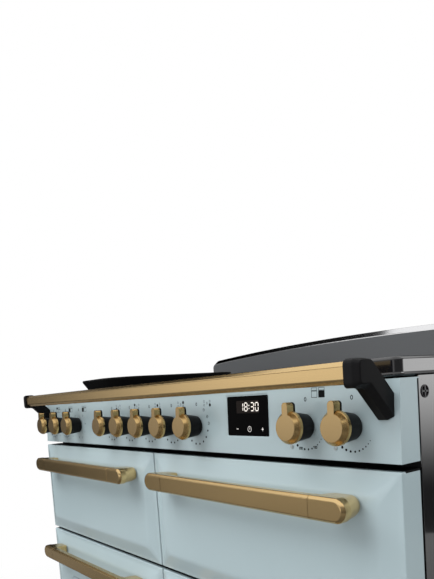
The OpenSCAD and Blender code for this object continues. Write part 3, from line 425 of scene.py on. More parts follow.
STEEL_EDGE = Brushed("steel_edge", "upstand_grey", (0.82, 0.82, 0.83), 0.14, 1.0, 0, 0.000002, 0.3)
ZINC = Brushed("steel_zinc", "zinc_steel", (0.50, 0.52, 0.54), 0.38, 1.0, 2, 0.00003)
CAVITY = Speckled("enamel_cavity", "cavity_enamel", (0.030, 0.032, 0.038), 0.28)
WIRE = Brushed("chrome_wire", "chrome_wire", (0.62, 0.63, 0.65), 0.16, 1.0, 1)
HOB_GLASS = Glass("glass_hob", "black_glass", (0.006, 0.006, 0.007), 0.05)
CLOCK_GLASS = Glass("glass_clock", "clock_glass", (0.0008, 0.0008, 0.0008), 0.04, 0.0, 0.0, 0.02)
WINDOW_GLASS = Glass("glass_window", "window_glass", (0.008, 0.008, 0.009), 0.04)
LENS = Enamel("lens_smoke", "lens", srgb(150, 158, 158), 0.16)
SEAL = Grained("rubber_seal", "seal_rubber", (0.018, 0.018, 0.018), 0.7, 0.0, 700.0)
PLASTIC = Grained("plastic_black", "black_plastic", (0.022, 0.022, 0.024), 0.5)
SWITCH = Grained("plastic_switch", "switch_body", (0.55, 0.53, 0.46), 0.5)
COPPER = Brushed("copper_litz", "copper_coil", (0.60, 0.27, 0.13), 0.35, 1.0)
ELEMENT = Grained("element_tube", "element_tube", (0.06, 0.05, 0.045), 0.5, 0.7)
CAST = Grained("iron_cast", "cast_black", (0.006, 0.006, 0.0065), 0.5, 0.0, 650.0, 0.0002, 0.12)
MOTOR = Brushed("motor_case", "motor_case", (0.35, 0.36, 0.37), 0.4, 1.0)
PRINT = Glow("print_dark", "black_satin", srgb(9, 10, 11), 0.5, 0.0)
CLOCK_LIGHT = Glow("digits_lit", "clock_glass", srgb(222, 216, 208), 0.4, 0.48)
CLOCK_TOUCH = Glow("digits_touch", "clock_glass", srgb(206, 204, 200), 0.4, 0.3)
CLOCK_FIELD = Glow("digits_field", "clock_glass", srgb(18, 14, 12), 0.3, 0.2)
HOB_PRINT = Glow("print_hob", "black_glass", srgb(150, 150, 150), 0.35, 0.0)

NODE_FINISH: dict[str, Finish] = {
    "base_tray": ZINC, "levelling_feet": PLASTIC, "side_panels": BLACK_MIRROR, "shelf_ledges": CAVITY,
    "rear_panel": ZINC, "front_frame": BLACK_SATIN, "plinth": BLACK_SATIN, "control_fascia": ENAMEL,
    "clock_panel": CLOCK_GLASS, "indicator_lenses": LENS, "control_switches": SWITCH,
    "hob_glass": HOB_GLASS, "induction_coils": COPPER, "mains_inlet": PLASTIC, "upper_liners": CAVITY,
    "grill_element": ELEMENT, "slide_runners": ZINC, "oven_liners": CAVITY, "oven_elements": ELEMENT,
    "induction_generators": ZINC, "oven_shelves": WIRE, "fan_covers": CAVITY, "fan_motors": MOTOR,
    "door_hinges": ZINC, "left_oven_fan": ZINC, "right_oven_fan": ZINC, "grill_backing": BLACK_SATIN,
    "grill_pan": CAVITY, "grill_trivet": WIRE, "drawer_box": BLACK_SATIN,
    "left_door_panel": BLACK_SATIN, "left_door_window": WINDOW_GLASS, "left_door_seal": SEAL,
    "right_door_panel": BLACK_SATIN, "right_door_window": WINDOW_GLASS, "right_door_seal": SEAL,
}


# Places


@dataclass(frozen=True)
class Layout:
    """Levels and sizes of the cooker in mm, in the frame whose Y is 0 at the fascia's foot.

    Attributes:
        mid_depth: Design Y of the row frame's origin.
        column_x: Middle of each column of doors.
        fascia_bottom: Level of the fascia's foot.
        fascia_lean: Backward lean of the fascia in degrees.
    """

    mid_depth: float = 270.0
    column_x: float = 273.75
    width: float = 1092.0
    upper_top: float = 772.5
    upper_bottom: float = 554.0
    lower_top: float = 547.0
    lower_bottom: float = 116.0
    fascia_bottom: float = 781.5
    fascia_lean: float = 2.2
    hob_bottom: float = 881.926
    hob_top: float = 904.926
    upstand_y: float = 567.0
    knob_z: float = 43.2

    def row(self, x: float, y: float, z: float) -> Point:
        """Design point in mm as a row point in metres."""
        return x * MM, (y - self.mid_depth) * MM, z * MM

    def fascia(self, x: float, y: float, z: float) -> Point:
        """Point in the fascia's own frame as a row point."""
        a = math.radians(self.fascia_lean)
        return self.row(
            x, z * math.sin(a) + y * math.cos(a),
            self.fascia_bottom + z * math.cos(a) - y * math.sin(a))


PLACE = Layout()
Mapping = Callable[[float, float, float], Point]


def shifted(mapping: Mapping, x: float, y: float, z: float) -> Mapping:
    """Mapping with its origin moved.

    Args:
        mapping: The mapping to move.
        x: New origin's X in mm.
        y: New origin's Y in mm.
        z: New origin's Z in mm.

    Returns:
        The moved mapping.
    """
    return lambda a, b, c: mapping(a + x, b + y, c + z)


# Drafting


@dataclass
class Draft:
    """Mesh under construction, in mm before its mapping."""

    points: list[Point] = field(default_factory=list)
    faces: list[list[int]] = field(default_factory=list)

    def add(self, points: Iterable[Point]) -> list[int]:
        """Adds points and returns their numbers."""
        start = len(self.points)
        self.points.extend(points)
        return list(range(start, len(self.points)))

    def face(self, *corners: int) -> None:
        """Adds one face."""
        self.faces.append(list(corners))

    def strip(self, first: Sequence[int], second: Sequence[int], closed: bool = True) -> None:
        """Joins two loops of equal length with quads.

        Args:
            first: One loop.
            second: The next loop.
            closed: True joins the ends too.
        """
        count = len(first)
        for i in range(count if closed else count - 1):
            j = (i + 1) % count
            self.face(first[i], first[j], second[j], second[i])

    def loft(
        self, loops: Sequence[Sequence[Point]], caps: tuple[bool, bool] = (True, True),
    ) -> list[list[int]]:
        """Skins a row of loops.

        Args:
            loops: Loops with equal counts.
            caps: Whether the first and the last loop are closed.

        Returns:
            The point numbers of each loop.
        """
        rings = [self.add(loop) for loop in loops]
        for a, b in zip(rings, rings[1:]):
            self.strip(a, b)
        if caps[0]:
            self.faces.append(list(reversed(rings[0])))
        if caps[1]:
            self.faces.append(list(rings[-1]))
        return rings

    def piece(
        self, name: str, body: str, finish: Finish, mapping: Mapping, angle: float = 35.0,
        second: Finish | None = None, pick: Callable[[Point], bool] | None = None,
    ) -> bpy.types.Object:
        """Makes the object.

        Args:
            name: The piece's name.
            body: CAD body it rides on.
            finish: Its finish.
            mapping: Turns its points into row points.
            angle: Edges sharper than this stay sharp, in degrees.
            second: Another finish for some faces.
            pick: Tells from a face's middle, in mm, whether it has the second finish.

        Returns:
            The object.
        """
        mesh = bpy.data.meshes.new(name)
        mesh.from_pydata([mapping(*p) for p in self.points], [], self.faces)
        mesh.materials.append(finish.material())
        if second and pick:
            mesh.materials.append(second.material())
            for polygon in mesh.polygons:
                corners = [self.points[i] for i in polygon.vertices]
                middle = tuple(sum(c[k] for c in corners) / len(corners) for k in range(3))
                polygon.material_index = 1 if pick(middle) else 0
        mesh.validate()
        mesh.shade_smooth()
        mesh.set_sharp_from_angle(angle=math.radians(angle))
        made = bpy.data.objects.new(name, mesh)
        bpy.context.scene.collection.objects.link(made)
        fix_winding(mesh)
        for polygon in mesh.polygons:
            polygon.use_smooth = len(polygon.vertices) < 5
        flats = made.modifiers.new("flats", "WEIGHTED_NORMAL")
        flats.keep_sharp = True
        flats.weight = 80
        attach(made, body)
        return made


def fix_winding(mesh: bpy.types.Mesh) -> None:
    """Turns every face outwards."""
    work = bmesh.new()
    work.from_mesh(mesh)
    bmesh.ops.recalc_face_normals(work, faces=work.faces)
    work.to_mesh(mesh)
    work.free()


def rounded(width: float, height: float, radius: float, steps: int = 8) -> list[Flat]:
    """Rounded rectangle about the origin, anticlockwise from its lower right side.

    Args:
        width: Full width.
        height: Full height.
        radius: Corner radius.
        steps: Segments per corner.

    Returns:
        Its outline.
    """
    radius = min(radius, width / 2, height / 2)
    out = []
    for quarter, (sx, sz) in enumerate(((1, -1), (1, 1), (-1, 1), (-1, -1))):
        for i in range(steps + 1):
            a = math.radians(-90 + 90 * quarter + 90 * i / steps)
            out.append((
                sx * (width / 2 - radius) + radius * math.cos(a),
                sz * (height / 2 - radius) + radius * math.sin(a)))
    return out


def softened(outline: Sequence[Flat], radius: float | Sequence[float], steps: int = 3) -> list[Flat]:
    """Outline with its corners rounded.

    Args:
        outline: Corners in order.
        radius: Largest distance cut from a corner along each side, one for all or one per corner.
        steps: Segments per corner.

    Returns:
        The rounded outline.
    """
    out = []
    count = len(outline)
    for i, corner in enumerate(outline):
        here = Vector(corner)
        before, after = Vector(outline[i - 1]), Vector(outline[(i + 1) % count])
        wanted = radius if isinstance(radius, (int, float)) else radius[i]
        cut = min(wanted, (before - here).length * 0.45, (after - here).length * 0.45)
        start = here + (before - here).normalized() * cut
        end = here + (after - here).normalized() * cut
        for k in range(steps + 1):
            t = k / steps
            out.append(tuple(start * (1 - t) ** 2 + here * 2 * t * (1 - t) + end * t * t))
    return out


def inset_outline(outline: Sequence[Flat], insets: Sequence[float]) -> list[Flat]:
    """Anticlockwise outline with its sides moved inwards.

    Args:
        outline: Corners in order.
        insets: How far the side after each corner moves.

    Returns:
        The new corners.
    """
    out = []
    count = len(outline)
    for i, corner in enumerate(outline):
        here, before, after = Vector(corner), Vector(outline[i - 1]), Vector(outline[(i + 1) % count])
        a, b = (here - before).normalized(), (after - here).normalized()
        turn = a.x * b.y - a.y * b.x
        out.append(tuple(here + (b * insets[i - 1] - a * insets[i]) / turn))
    return out


def stadium(start: float, end: float, radius: float, corner: float) -> list[Flat]:
    """Outline with a square left end and a round right end, about Z 0.

    Args:
        start: X of the square end.
        end: X of the round end.
        radius: Half the height.
        corner: Radius of the square end's corners.

    Returns:
        Its outline.
    """
    out = []
    for i in range(25):
        a = math.radians(-90 + 180 * i / 24)
        out.append((end - radius + radius * math.cos(a), radius * math.sin(a)))
    for quarter in (1, 2):
        sz = 1 if quarter == 1 else -1
        for i in range(6):
            a = math.radians(90 * quarter + 90 * i / 5)
            out.append((start + corner + corner * math.cos(a), sz * (radius - corner) + corner * math.sin(a)))
    return out


def raised(outline: Sequence[Flat], y: float) -> list[Point]:
    """Outline in X and Z as points at one Y."""
    return [(x, y, z) for x, z in outline]


# Sub-assemblies


class Row(Enum):
    """Row of doors."""

    UPPER = "upper"
    LOWER = "lower"


@dataclass
class Front:
    """Pressed enamel front of a door or drawer.

    Attributes:
        name: The piece's name.
        node: CAD node it stands for.
        body: CAD body it rides on.
        side: -1 for the left column and 1 for the right one.
        row: The row it is in.
    """

    name: str
    node: str
    body: str
    side: int
    row: Row
    width: float = 544.5
    edge_y: float = -1.0
    field_y: float = -11.0
    bevel: float = 31.0
    corner: float = 15.0
    fillet: float = 9.0
    wall: float = 1.5
    lip_y: float = 7.0
    rear_y: float = 34.9
    window_side: float = 123.0
    window_top: float = 126.0
    window_bottom: float = 92.0

    def span(self) -> tuple[float, float]:
        """Lowest and highest level."""
        upper = self.row is Row.UPPER
        return (PLACE.upper_bottom, PLACE.upper_top) if upper else (PLACE.lower_bottom, PLACE.lower_top)

    def slope(self, inset: float) -> float:
        """Y of the front at a distance from its edge: a straight bevel with a fillet at each end."""
        rise = (self.field_y - self.edge_y) / self.bevel
        if inset < self.fillet:
            return self.edge_y + rise * inset * inset / (2 * self.fillet)
        start = self.edge_y + rise * self.fillet / 2
        linear = start + rise * (inset - self.fillet)
        end = self.bevel + self.fillet / 2
        if inset <= end - self.fillet:
            return linear
        t = min(1.0, (inset - (end - self.fillet)) / self.fillet)
        at = start + rise * (end - 2 * self.fillet)
        return at + rise * self.fillet * (t - t * t / 2)

    def window(self, grow: float) -> list[Flat]:
        """Window's outline grown all round."""
        low, high = self.span()
        shape = rounded(
            self.width - 2 * (self.window_side - grow),
            high - low - self.window_top - self.window_bottom + 2 * grow, 10 + grow / 2, 10)
        return [(x, z + (self.window_bottom - self.window_top) / 2) for x, z in shape]

    def build(self) -> bpy.types.Object:
        """Lofts the shell from its side returns to its field or window."""
        low, high = self.span()
        height = high - low
        draft = Draft()
        loops = [
            (0.0, 2.0, self.lip_y), (0.0, 2.0, self.edge_y + 1.6), (0.15, 2.0, self.edge_y + 0.9),
            (0.5, 2.2, self.edge_y + 0.35), (1.2, 2.6, self.edge_y)]
        end = self.bevel + self.fillet / 2
        steps = 16
        for i in range(1, steps + 1):
            inset = 1.2 + (end - 1.2) * i / steps
            loops.append((inset, 2.6 + (self.corner - 2.6) * min(1.0, inset / self.bevel), self.slope(inset)))
        field_y = loops[-1][2]
        rings = [
            draft.add(raised(rounded(self.width - 2 * d, height - 2 * d, r, 10), y))
            for d, r, y in loops]
        if self.row is Row.LOWER:
            for grow, drop in ((23.5, 0.0), (22.0, 0.12), (20.5, 0.7), (18.5, 2.2), (17.2, 3.1), (15.5, 3.45),
                               (13.0, 3.55), (1.2, 3.6), (0.4, 3.8), (0.0, 4.3), (0.0, 6.0)):
                rings.append(draft.add(raised(self.window(grow), field_y + drop)))
        for a, b in zip(rings, rings[1:]):
            draft.strip(a, b)
        if self.row is Row.UPPER:
            draft.faces.append(list(rings[-1]))
        edge = rings[0]
        quarter = len(edge) // 4
        for first, second in ((quarter - 1, quarter), (3 * quarter - 1, 3 * quarter)):
            a, b = draft.points[edge[first]], draft.points[edge[second]]
            c, d = draft.add([(a[0], self.rear_y, a[2]), (b[0], self.rear_y, b[2])])
            draft.face(edge[first], edge[second], d, c)
        mapping = shifted(PLACE.row, self.side * PLACE.column_x, 0, (low + high) / 2)
        made = draft.piece(self.name, self.body, ENAMEL, mapping, 40)
        solid = made.modifiers.new("wall", "SOLIDIFY")
        solid.thickness = self.wall * MM
        solid.offset = -1
        made.modifiers.move(0, 1)
        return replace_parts(made, self.node)


@dataclass
class Handle:
    """Brass bar between two posts.

    Attributes:
        name: Start of the pieces' names.
        node: CAD node that the pieces stand for.
        body: CAD body they ride on.
        side: Column, -1 or 1.
        top: Level of the door's top.
    """

    name: str
    node: str
    body: str
    side: int
    top: float
    length: float = 457.0
    half: float = 15.5
    thickness: float = 16.0
    reach: float = 53.0
    chamfer: float = 3.6
    post: float = 56.0
    seam: float = 0.85
    drop: float = 42.8

    def post_loops(self) -> list[list[Point]]:
        """Loops of one post, from its face to its foot."""
        c, r, far = self.chamfer, self.half, self.post
        face = -self.reach
        rows = [
            (face, far - c - 0.9, r - c - 0.9, 0.4), (face + 0.15, far - c - 0.3, r - c - 0.3, 0.4),
            (face + 0.7, far - c + 0.6, r - c + 0.6, 0.4), (face + c - 0.7, far - 0.6, r - 0.6, 0.4),
            (face + c + 0.1, far - 0.15, r - 0.15, 0.4), (face + c + 1.0, far, r, 0.4),
            (face + self.thickness - 1.6, far, r, 0.4),
            (face + self.thickness - 0.8, far - 0.2, r - 0.2, 0.5)]
        rows = [(y, 0.0, end, radius, corner) for y, end, radius, corner in rows]
        rows += [
            (face + self.thickness - 0.3, 2.4, far - 0.6, r - 0.5, 2.0),
            (face + self.thickness + 0.6, 3.0, far - 1.0, r - 0.9, 2.6),
            (face + self.thickness + 16, 4.9, far - 5.0, r - 1.7, 3.4),
            (-12.6, 6.5, far - 8.8, r - 2.4, 3.8), (-11.4, 7.0, far - 9.4, r - 2.9, 3.8),
            (-11.05, 8.0, far - 10.4, r - 3.6, 3.4)]
        return [raised(stadium(a, b, radius, corner), y) for y, a, b, radius, corner in rows]

    def build(self) -> list[bpy.types.Object]:
        """Builds the bar and its two posts."""
        centre = shifted(PLACE.row, self.side * PLACE.column_x, 0, self.top - self.drop)
        bar = self.length - 2 * self.post - 2 * self.seam
        c, r, t = self.chamfer, self.half, self.thickness
        section = softened([
            (0, -r + c), (c, -r), (t - 3, -r), (t, -r + 3), (t, r - 3), (t - 3, r), (c, r), (0, r - c)], 1.1)
        draft = Draft()
        shrink = ((-bar / 2, 0.4), (-bar / 2 + 0.4, 0.0), (bar / 2 - 0.4, 0.0), (bar / 2, 0.4))
        loops = []
        for x, cut in shrink:
            k = 1 - cut / r
            loops.append([(x, -self.reach + t / 2 + (y - t / 2) * k, z * k) for y, z in section])
        draft.loft(loops)
        made = [draft.piece(self.name + "_bar", self.body, BRASS, centre, 25)]
        for sign, side in ((1, "right"), (-1, "left")):
            end = Draft()
            start = bar / 2 + self.seam
            end.loft([[(sign * (start + x), y, z) for x, y, z in loop] for loop in self.post_loops()])
            made.append(end.piece(f"{self.name}_{side}_post", self.body, BRASS, centre, 30))
        for piece in made:
            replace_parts(piece, self.node)
        return made


@dataclass
class Handrail:
    """Octagonal brass rail with softened edges."""

    length: float = 1034.0
    height: float = 26.5
    depth: float = 22.0
    chamfer: float = 5.3
    reach: float = 55.6
    level: float = 108.0

    def build(self) -> bpy.types.Object:
        """Lofts the rail."""
        c, h, d = self.chamfer, self.height / 2, self.depth
        corners = [(c, -h), (d - c, -h), (d, -h + c), (d, h - c), (d - c, h), (c, h), (0, h - c), (0, -h + c)]
        section = softened(corners, 1.6, 4)
        draft = Draft()
        half = self.length / 2
        draft.loft([[(x, y - self.reach, z) for y, z in section] for x in (-half, half)])
        made = draft.piece(
            "rail_bar", "cooker_body", BRASS, shifted(PLACE.row, 0, 0, PLACE.fascia_bottom + self.level), 30)
        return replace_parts(made, "handrail")


@dataclass
class Bracket:
    """Moulded bracket that caps one end of the rail and runs down to the fascia.

    Attributes:
        side: -1 for the left end and 1 for the right one.
    """

    side: int
    near: float = 517.1
    width: float = 20.9
    bevel: float = 8.5
    bevel_in: float = 3.9

    OUTLINE = (
        (-59.0, 90.5), (-39.0, 90.5), (-1.0, 51.0), (1.98, 51.0), (3.17, 82.6), (-36.0, 123.5),
        (-59.0, 123.5))
    CORNERS = (7.0, 5.0, 2.0, 1.2, 2.5, 6.0, 8.0)
    SHARES = (1.0, 1.0, 1.0, 0.0, 0.1, 0.5, 1.0)

    def build(self) -> bpy.types.Object:
        """Lofts it along X with a wide bevel on its outer side."""
        far = self.near + self.width
        rows = (
            (self.near, 1.0), (self.near + 0.3, 0.3), (self.near + 1.0, 0.0), (far - self.bevel - 1.0, 0.0),
            (far - self.bevel, 0.15), (far - self.bevel + 1.0, 0.55), (far - 1.2, self.bevel_in - 0.4),
            (far - 0.5, self.bevel_in + 0.1), (far - 0.1, self.bevel_in + 0.8), (far, self.bevel_in + 1.6))
        loops = []
        for x, inset in rows:
            radii = [max(r - inset * 0.4, 0.6) for r in self.CORNERS]
            shape = softened(inset_outline(self.OUTLINE, [inset * share for share in self.SHARES]), radii, 5)
            loops.append([(self.side * x, y, z) for y, z in shape])
        draft = Draft()
        draft.loft(loops)
        name = "bracket_right" if self.side > 0 else "bracket_left"
        foot = shifted(PLACE.row, 0, 0, PLACE.fascia_bottom)
        made = draft.piece(name, "cooker_body", BLACK_SATIN, foot, 40)
        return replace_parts(made, "rail_brackets")


@dataclass
class HobTrim:
    """Black frame round the hob glass, with a bright bevel and a flared lip."""

    near: float = 2.0
    far: float = 567.0
    width: float = 1092.0
    corner: float = 12.0
    height: float = 23.0
    rim: float = 8.0
    glass: float = 6.0
    sheet: float = 1.5

    def build(self) -> bpy.types.Object:
        """Lofts the outside, the seat of the glass and the floor."""
        h = self.height
        seat = h - self.glass - 0.3
        rows = (
            (3.0, 0.0), (2.6, 0.3), (0.4, 1.6), (0.05, 2.1), (0.05, 2.9), (0.5, 3.5), (1.1, 4.4), (1.3, 5.4),
            (1.3, h - 4.2), (1.5, h - 3.4), (2.0, h - 2.6), (4.2, h - 0.75), (4.9, h - 0.3), (5.8, h - 0.05),
            (self.rim - 0.8, h - 0.05), (self.rim - 0.3, h - 0.4), (self.rim - 0.2, seat),
            (self.rim + 7.8, seat), (self.rim + 7.8, self.sheet + 0.2))
        depth = self.far - self.near
        draft = Draft()
        draft.loft([
            [(x, y, z) for x, y in rounded(self.width - 2 * d, depth - 2 * d, max(self.corner - d, 1.2), 8)]
            for d, z in rows])
        mapping = shifted(PLACE.row, 0, (self.near + self.far) / 2, PLACE.hob_bottom)
        made = draft.piece(
            "hob_trim", "cooker_body", BLACK_GLOSS, mapping, 34, BLACK_MIRROR,
            lambda p: abs(p[0]) > self.width / 2 - 1.45 and 3.5 < p[2] < h - 3.4)
        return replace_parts(made, "hob_frame")


@dataclass
class Knob:
    """Lever knob: a brass cap with a tab on a black core.

    Attributes:
        index: Number from the left, from 1.
        x: Its middle on the fascia.
    """

    index: int
    x: float
    face_r: float = 17.2
    rim_r: float = 22.0
    cap: float = 11.5
    reach: float = 39.3
    gap: float = 1.2
    seam: float = 0.2
    tab_length: float = 33.0
    tab_width: float = 10.6
    core_near: float = 20.6
    core_far: float = 16.8
    backing: float = 3.4

    def outline(self, radius: float, width: float, length: float, y: float) -> list[Point]:
        """Disc with a tab upwards, as one loop."""
        half = width / 2
        start = math.acos(min(1.0, half / radius))
        points = []
        for i in range(57):
            a = start - (2 * math.pi - (math.pi - 2 * start)) * i / 56
            points.append((radius * math.cos(a), y, radius * math.sin(a)))
        for i in range(17):
            a = math.pi - math.pi * i / 16
            points.append((half * math.cos(a), y, length - half + half * math.sin(a)))
        return points

    def build_cap(self, centre: Mapping) -> bpy.types.Object:
        """Lofts the cap with its tab."""
        w, l, face, rim = self.tab_width, self.tab_length, self.face_r, self.rim_r
        rows = [
            (0.0, face - 0.25, w - 0.7, l - 0.35), (0.12, face, w - 0.3, l - 0.15), (0.4, face + 0.3, w, l),
            (4.9, rim - 0.9, w, l), (5.3, rim - 0.65, w, l), (5.7, rim - 0.75, w, l), (5.95, rim - 1.2, w, l),
            (6.3, rim - 1.2, w, l), (6.6, rim - 0.5, w, l), (7.0, rim - 0.1, w, l), (7.5, rim, w, l),
            (self.cap - 0.4, rim, w, l), (self.cap, rim - 0.4, w - 0.5, l - 0.3)]
        draft = Draft()
        draft.loft([self.outline(radius, width, length, y) for y, radius, width, length in rows])
        made = draft.piece(
            f"knob_{self.index}_cap", f"knob_{self.index}_body", BRASS_KNOB, centre, 28, BRASS_RIM,
            lambda p: p[1] > 0.2)
        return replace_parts(made, f"knob_{self.index}")

    def build_core(self, centre: Mapping) -> bpy.types.Object:
        """Turns the black skirt with its spindle, and the thin backing of the tab."""
        start = self.cap + self.seam
        length = self.reach - start - self.gap
        near, far = self.core_near, self.core_far
        rows = [
            (0.0, near - 0.6), (0.3, near - 0.1), (0.9, near - 0.1), (length - 1.0, far),
            (length - 0.3, far - 0.5),
            (length, far - 1.2), (length, far - 5), (length - 0.6, far - 5.6), (length - 7.4, far - 6),
            (length - 8, far - 6.6), (length - 8, 3.3), (length - 7.6, 3.0),
            (length + self.gap + 14.8, 3.0), (length + self.gap + 15.5, 2.4)]
        draft = Draft()
        draft.loft([
            [(r * math.cos(a), start + y, r * math.sin(a)) for a in (2 * math.pi * i / 56 for i in range(56))]
            for y, r in rows])
        w, l = self.tab_width, self.tab_length
        back = [(0.0, 0.3), (0.3, 0.0), (self.backing - 0.4, 0.0), (self.backing, 0.4)]
        draft.loft([
            [(x, start + y, z) for z, x in stadium(12.0, l - cut, w / 2 - cut, 0.4)] for y, cut in back])
        made = draft.piece(f"knob_{self.index}_core", f"knob_{self.index}_body", BLACK_SATIN, centre, 30)
        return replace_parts(made, f"knob_{self.index}")

    def build(self) -> list[bpy.types.Object]:
        """Builds the cap and the core."""
        centre = shifted(PLACE.fascia, self.x, -self.reach, PLACE.knob_z)
        return [self.build_cap(centre), self.build_core(centre)]


@dataclass
class Griddle:
    """Cast griddle with flared sides and ribs."""

    x: float = -376.0
    near: float = 62.0
    width: float = 226.0
    length: float = 390.0
    height: float = 26.0
    recess: float = 12.0
    flare: float = 14.0
    corner: float = 74.0
    ribs: int = 11

    def build(self) -> bpy.types.Object:
        """Lofts the plate and its ribs."""
        w, l, h, f = self.width, self.length, self.height, self.flare
        floor = h - self.recess
        rows = [
            (0.0, 2 * f + 3), (0.5, 2 * f + 1), (2.0, 2 * f - 0.8), (h - 5.5, 1.6), (h - 3.5, 0.3),
            (h - 2.0, 0.0),
            (h - 0.8, 0.7), (h - 0.2, 1.9), (h, 3.4), (h, 12.0), (h - 0.2, 14.4), (h - 1.0, 16.4),
            (floor + 2.5, 31.0), (floor + 0.8, 34.0), (floor, 38.0)]
        draft = Draft()
        draft.loft([
            [(x, y, z) for x, y in rounded(w - cut, l - cut, self.corner - cut / 2, 14)] for z, cut in rows])
        pitch = (w - 56) / (self.ribs - 1)
        for i in range(self.ribs):
            x = (i - (self.ribs - 1) / 2) * pitch
            loops = []
            reach = self.corner - 26
            past = max(0.0, abs(x) - w / 2 + self.corner)
            short = l - 52 - 2 * (reach - math.sqrt(reach * reach - past ** 2))
            for z, cut in ((floor - 0.2, 0.0), (floor + 2.0, 0.3), (floor + 2.7, 0.8), (floor + 3.0, 1.5)):
                rib = rounded(4.6 - 2 * cut, short - 2 * cut, 2.2 - cut, 4)
                loops.append([(x + a, b, z) for a, b in rib])
            draft.loft(loops)
        base = shifted(PLACE.row, self.x, self.near + l / 2, PLACE.hob_top + 0.3)
        made = draft.piece("griddle_cast", "griddle", CAST, base, 40)
        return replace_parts(made, "griddle_plate")


@dataclass
class Upstand:
    """Rear upstand with a folded, arched top."""

    half: float = 546.0
    height: float = 113.0
    arch: float = 17.0
    corner: float = 24.0
    depth: float = 33.0
    roll: float = 10.4
    fold: float = 13.0
    lip: float = 0.55

    def outline(self, inset: float, y: float, side: float = 1.0) -> list[Point]:
        """Arched outline at one depth, open at the bottom.

        Args:
            inset: Distance from the full outline at the top.
            y: Depth from the front.
            side: Share of the inset at the sides.

        Returns:
            Its points.
        """
        w, h = self.half - inset * side, self.height - inset
        big = (self.half ** 2 + self.arch ** 2) / (2 * self.arch)
        r = max(self.corner - inset, 4.0)

        def top(x: float) -> float:
            """Level of the arch."""
            return h - big + math.sqrt(big * big - x * x)

        centre = top(w - r) - r
        points = [(-w, y, 0.0)]
        points += [(-w + r - r * math.cos(a), y, centre + r * math.sin(a))
                   for a in (math.radians(90 * i / 10) for i in range(11))]
        points += [(x, y, top(x)) for x in ((-w + r) + (2 * (w - r)) * i / 40 for i in range(1, 40))]
        points += [(w - r + r * math.sin(a), y, centre + r * math.cos(a))
                   for a in (math.radians(90 * i / 10) for i in range(11))]
        points.append((w, y, 0.0))
        return points

    def build(self) -> bpy.types.Object:
        """Lofts the front, the folded edge and the rear rim."""
        draft = Draft()
        loops = []
        roll, fold, lip = self.roll, self.fold, self.lip
        for inset, y in (
                (fold + 0.5, 0.1), (fold + 0.3, 0.0), (fold, 0.0), (roll + 0.4, lip), (roll, lip + 0.25),
                (roll - 0.4, lip + 0.65), (0.7, roll + 0.4), (0.2, roll + 1.2), (0.0, roll + 2.4)):
            loops.append(self.outline(inset, y, 0.25))
        loops.append(self.outline(0.0, self.depth - 0.6))
        loops.append(self.outline(0.6, self.depth))
        loops.append(self.outline(2.4, self.depth))
        loops.append(self.outline(3.0, self.depth - 0.6))
        loops.append(self.outline(3.0, roll + 3.6))
        loops.append(self.outline(fold + 1.8, 3.0, 0.25))
        draft.loft(loops)
        foot = shifted(PLACE.row, 0, PLACE.upstand_y, PLACE.hob_bottom)
        made = draft.piece(
            "upstand_panel", "cooker_body", UPSTAND, foot, 30,
            STEEL_EDGE, lambda p: 0.15 < p[1] < roll + 2.0)
        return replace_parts(made, "rear_upstand")


# Print


GLYPHS: dict[str, list[list[Flat]]] = {
    "0": [[(0, 0), (0, 1), (0.6, 1), (0.6, 0), (0, 0)]],
    "1": [[(0.1, 0.75), (0.35, 1), (0.35, 0)]],
    "2": [[(0, 0.85), (0.15, 1), (0.5, 1), (0.6, 0.8), (0, 0), (0.6, 0)]],
    "3": [[(0, 1), (0.6, 1), (0.6, 0.5), (0.2, 0.5)], [(0.6, 0.5), (0.6, 0), (0, 0)]],
    "5": [[(0.6, 1), (0, 1), (0, 0.55), (0.6, 0.5), (0.6, 0), (0, 0)]],
    "-": [[(0, 0.5), (0.6, 0.5)]],
    "+": [[(0, 0.5), (0.6, 0.5)], [(0.3, 0.8), (0.3, 0.2)]],
}


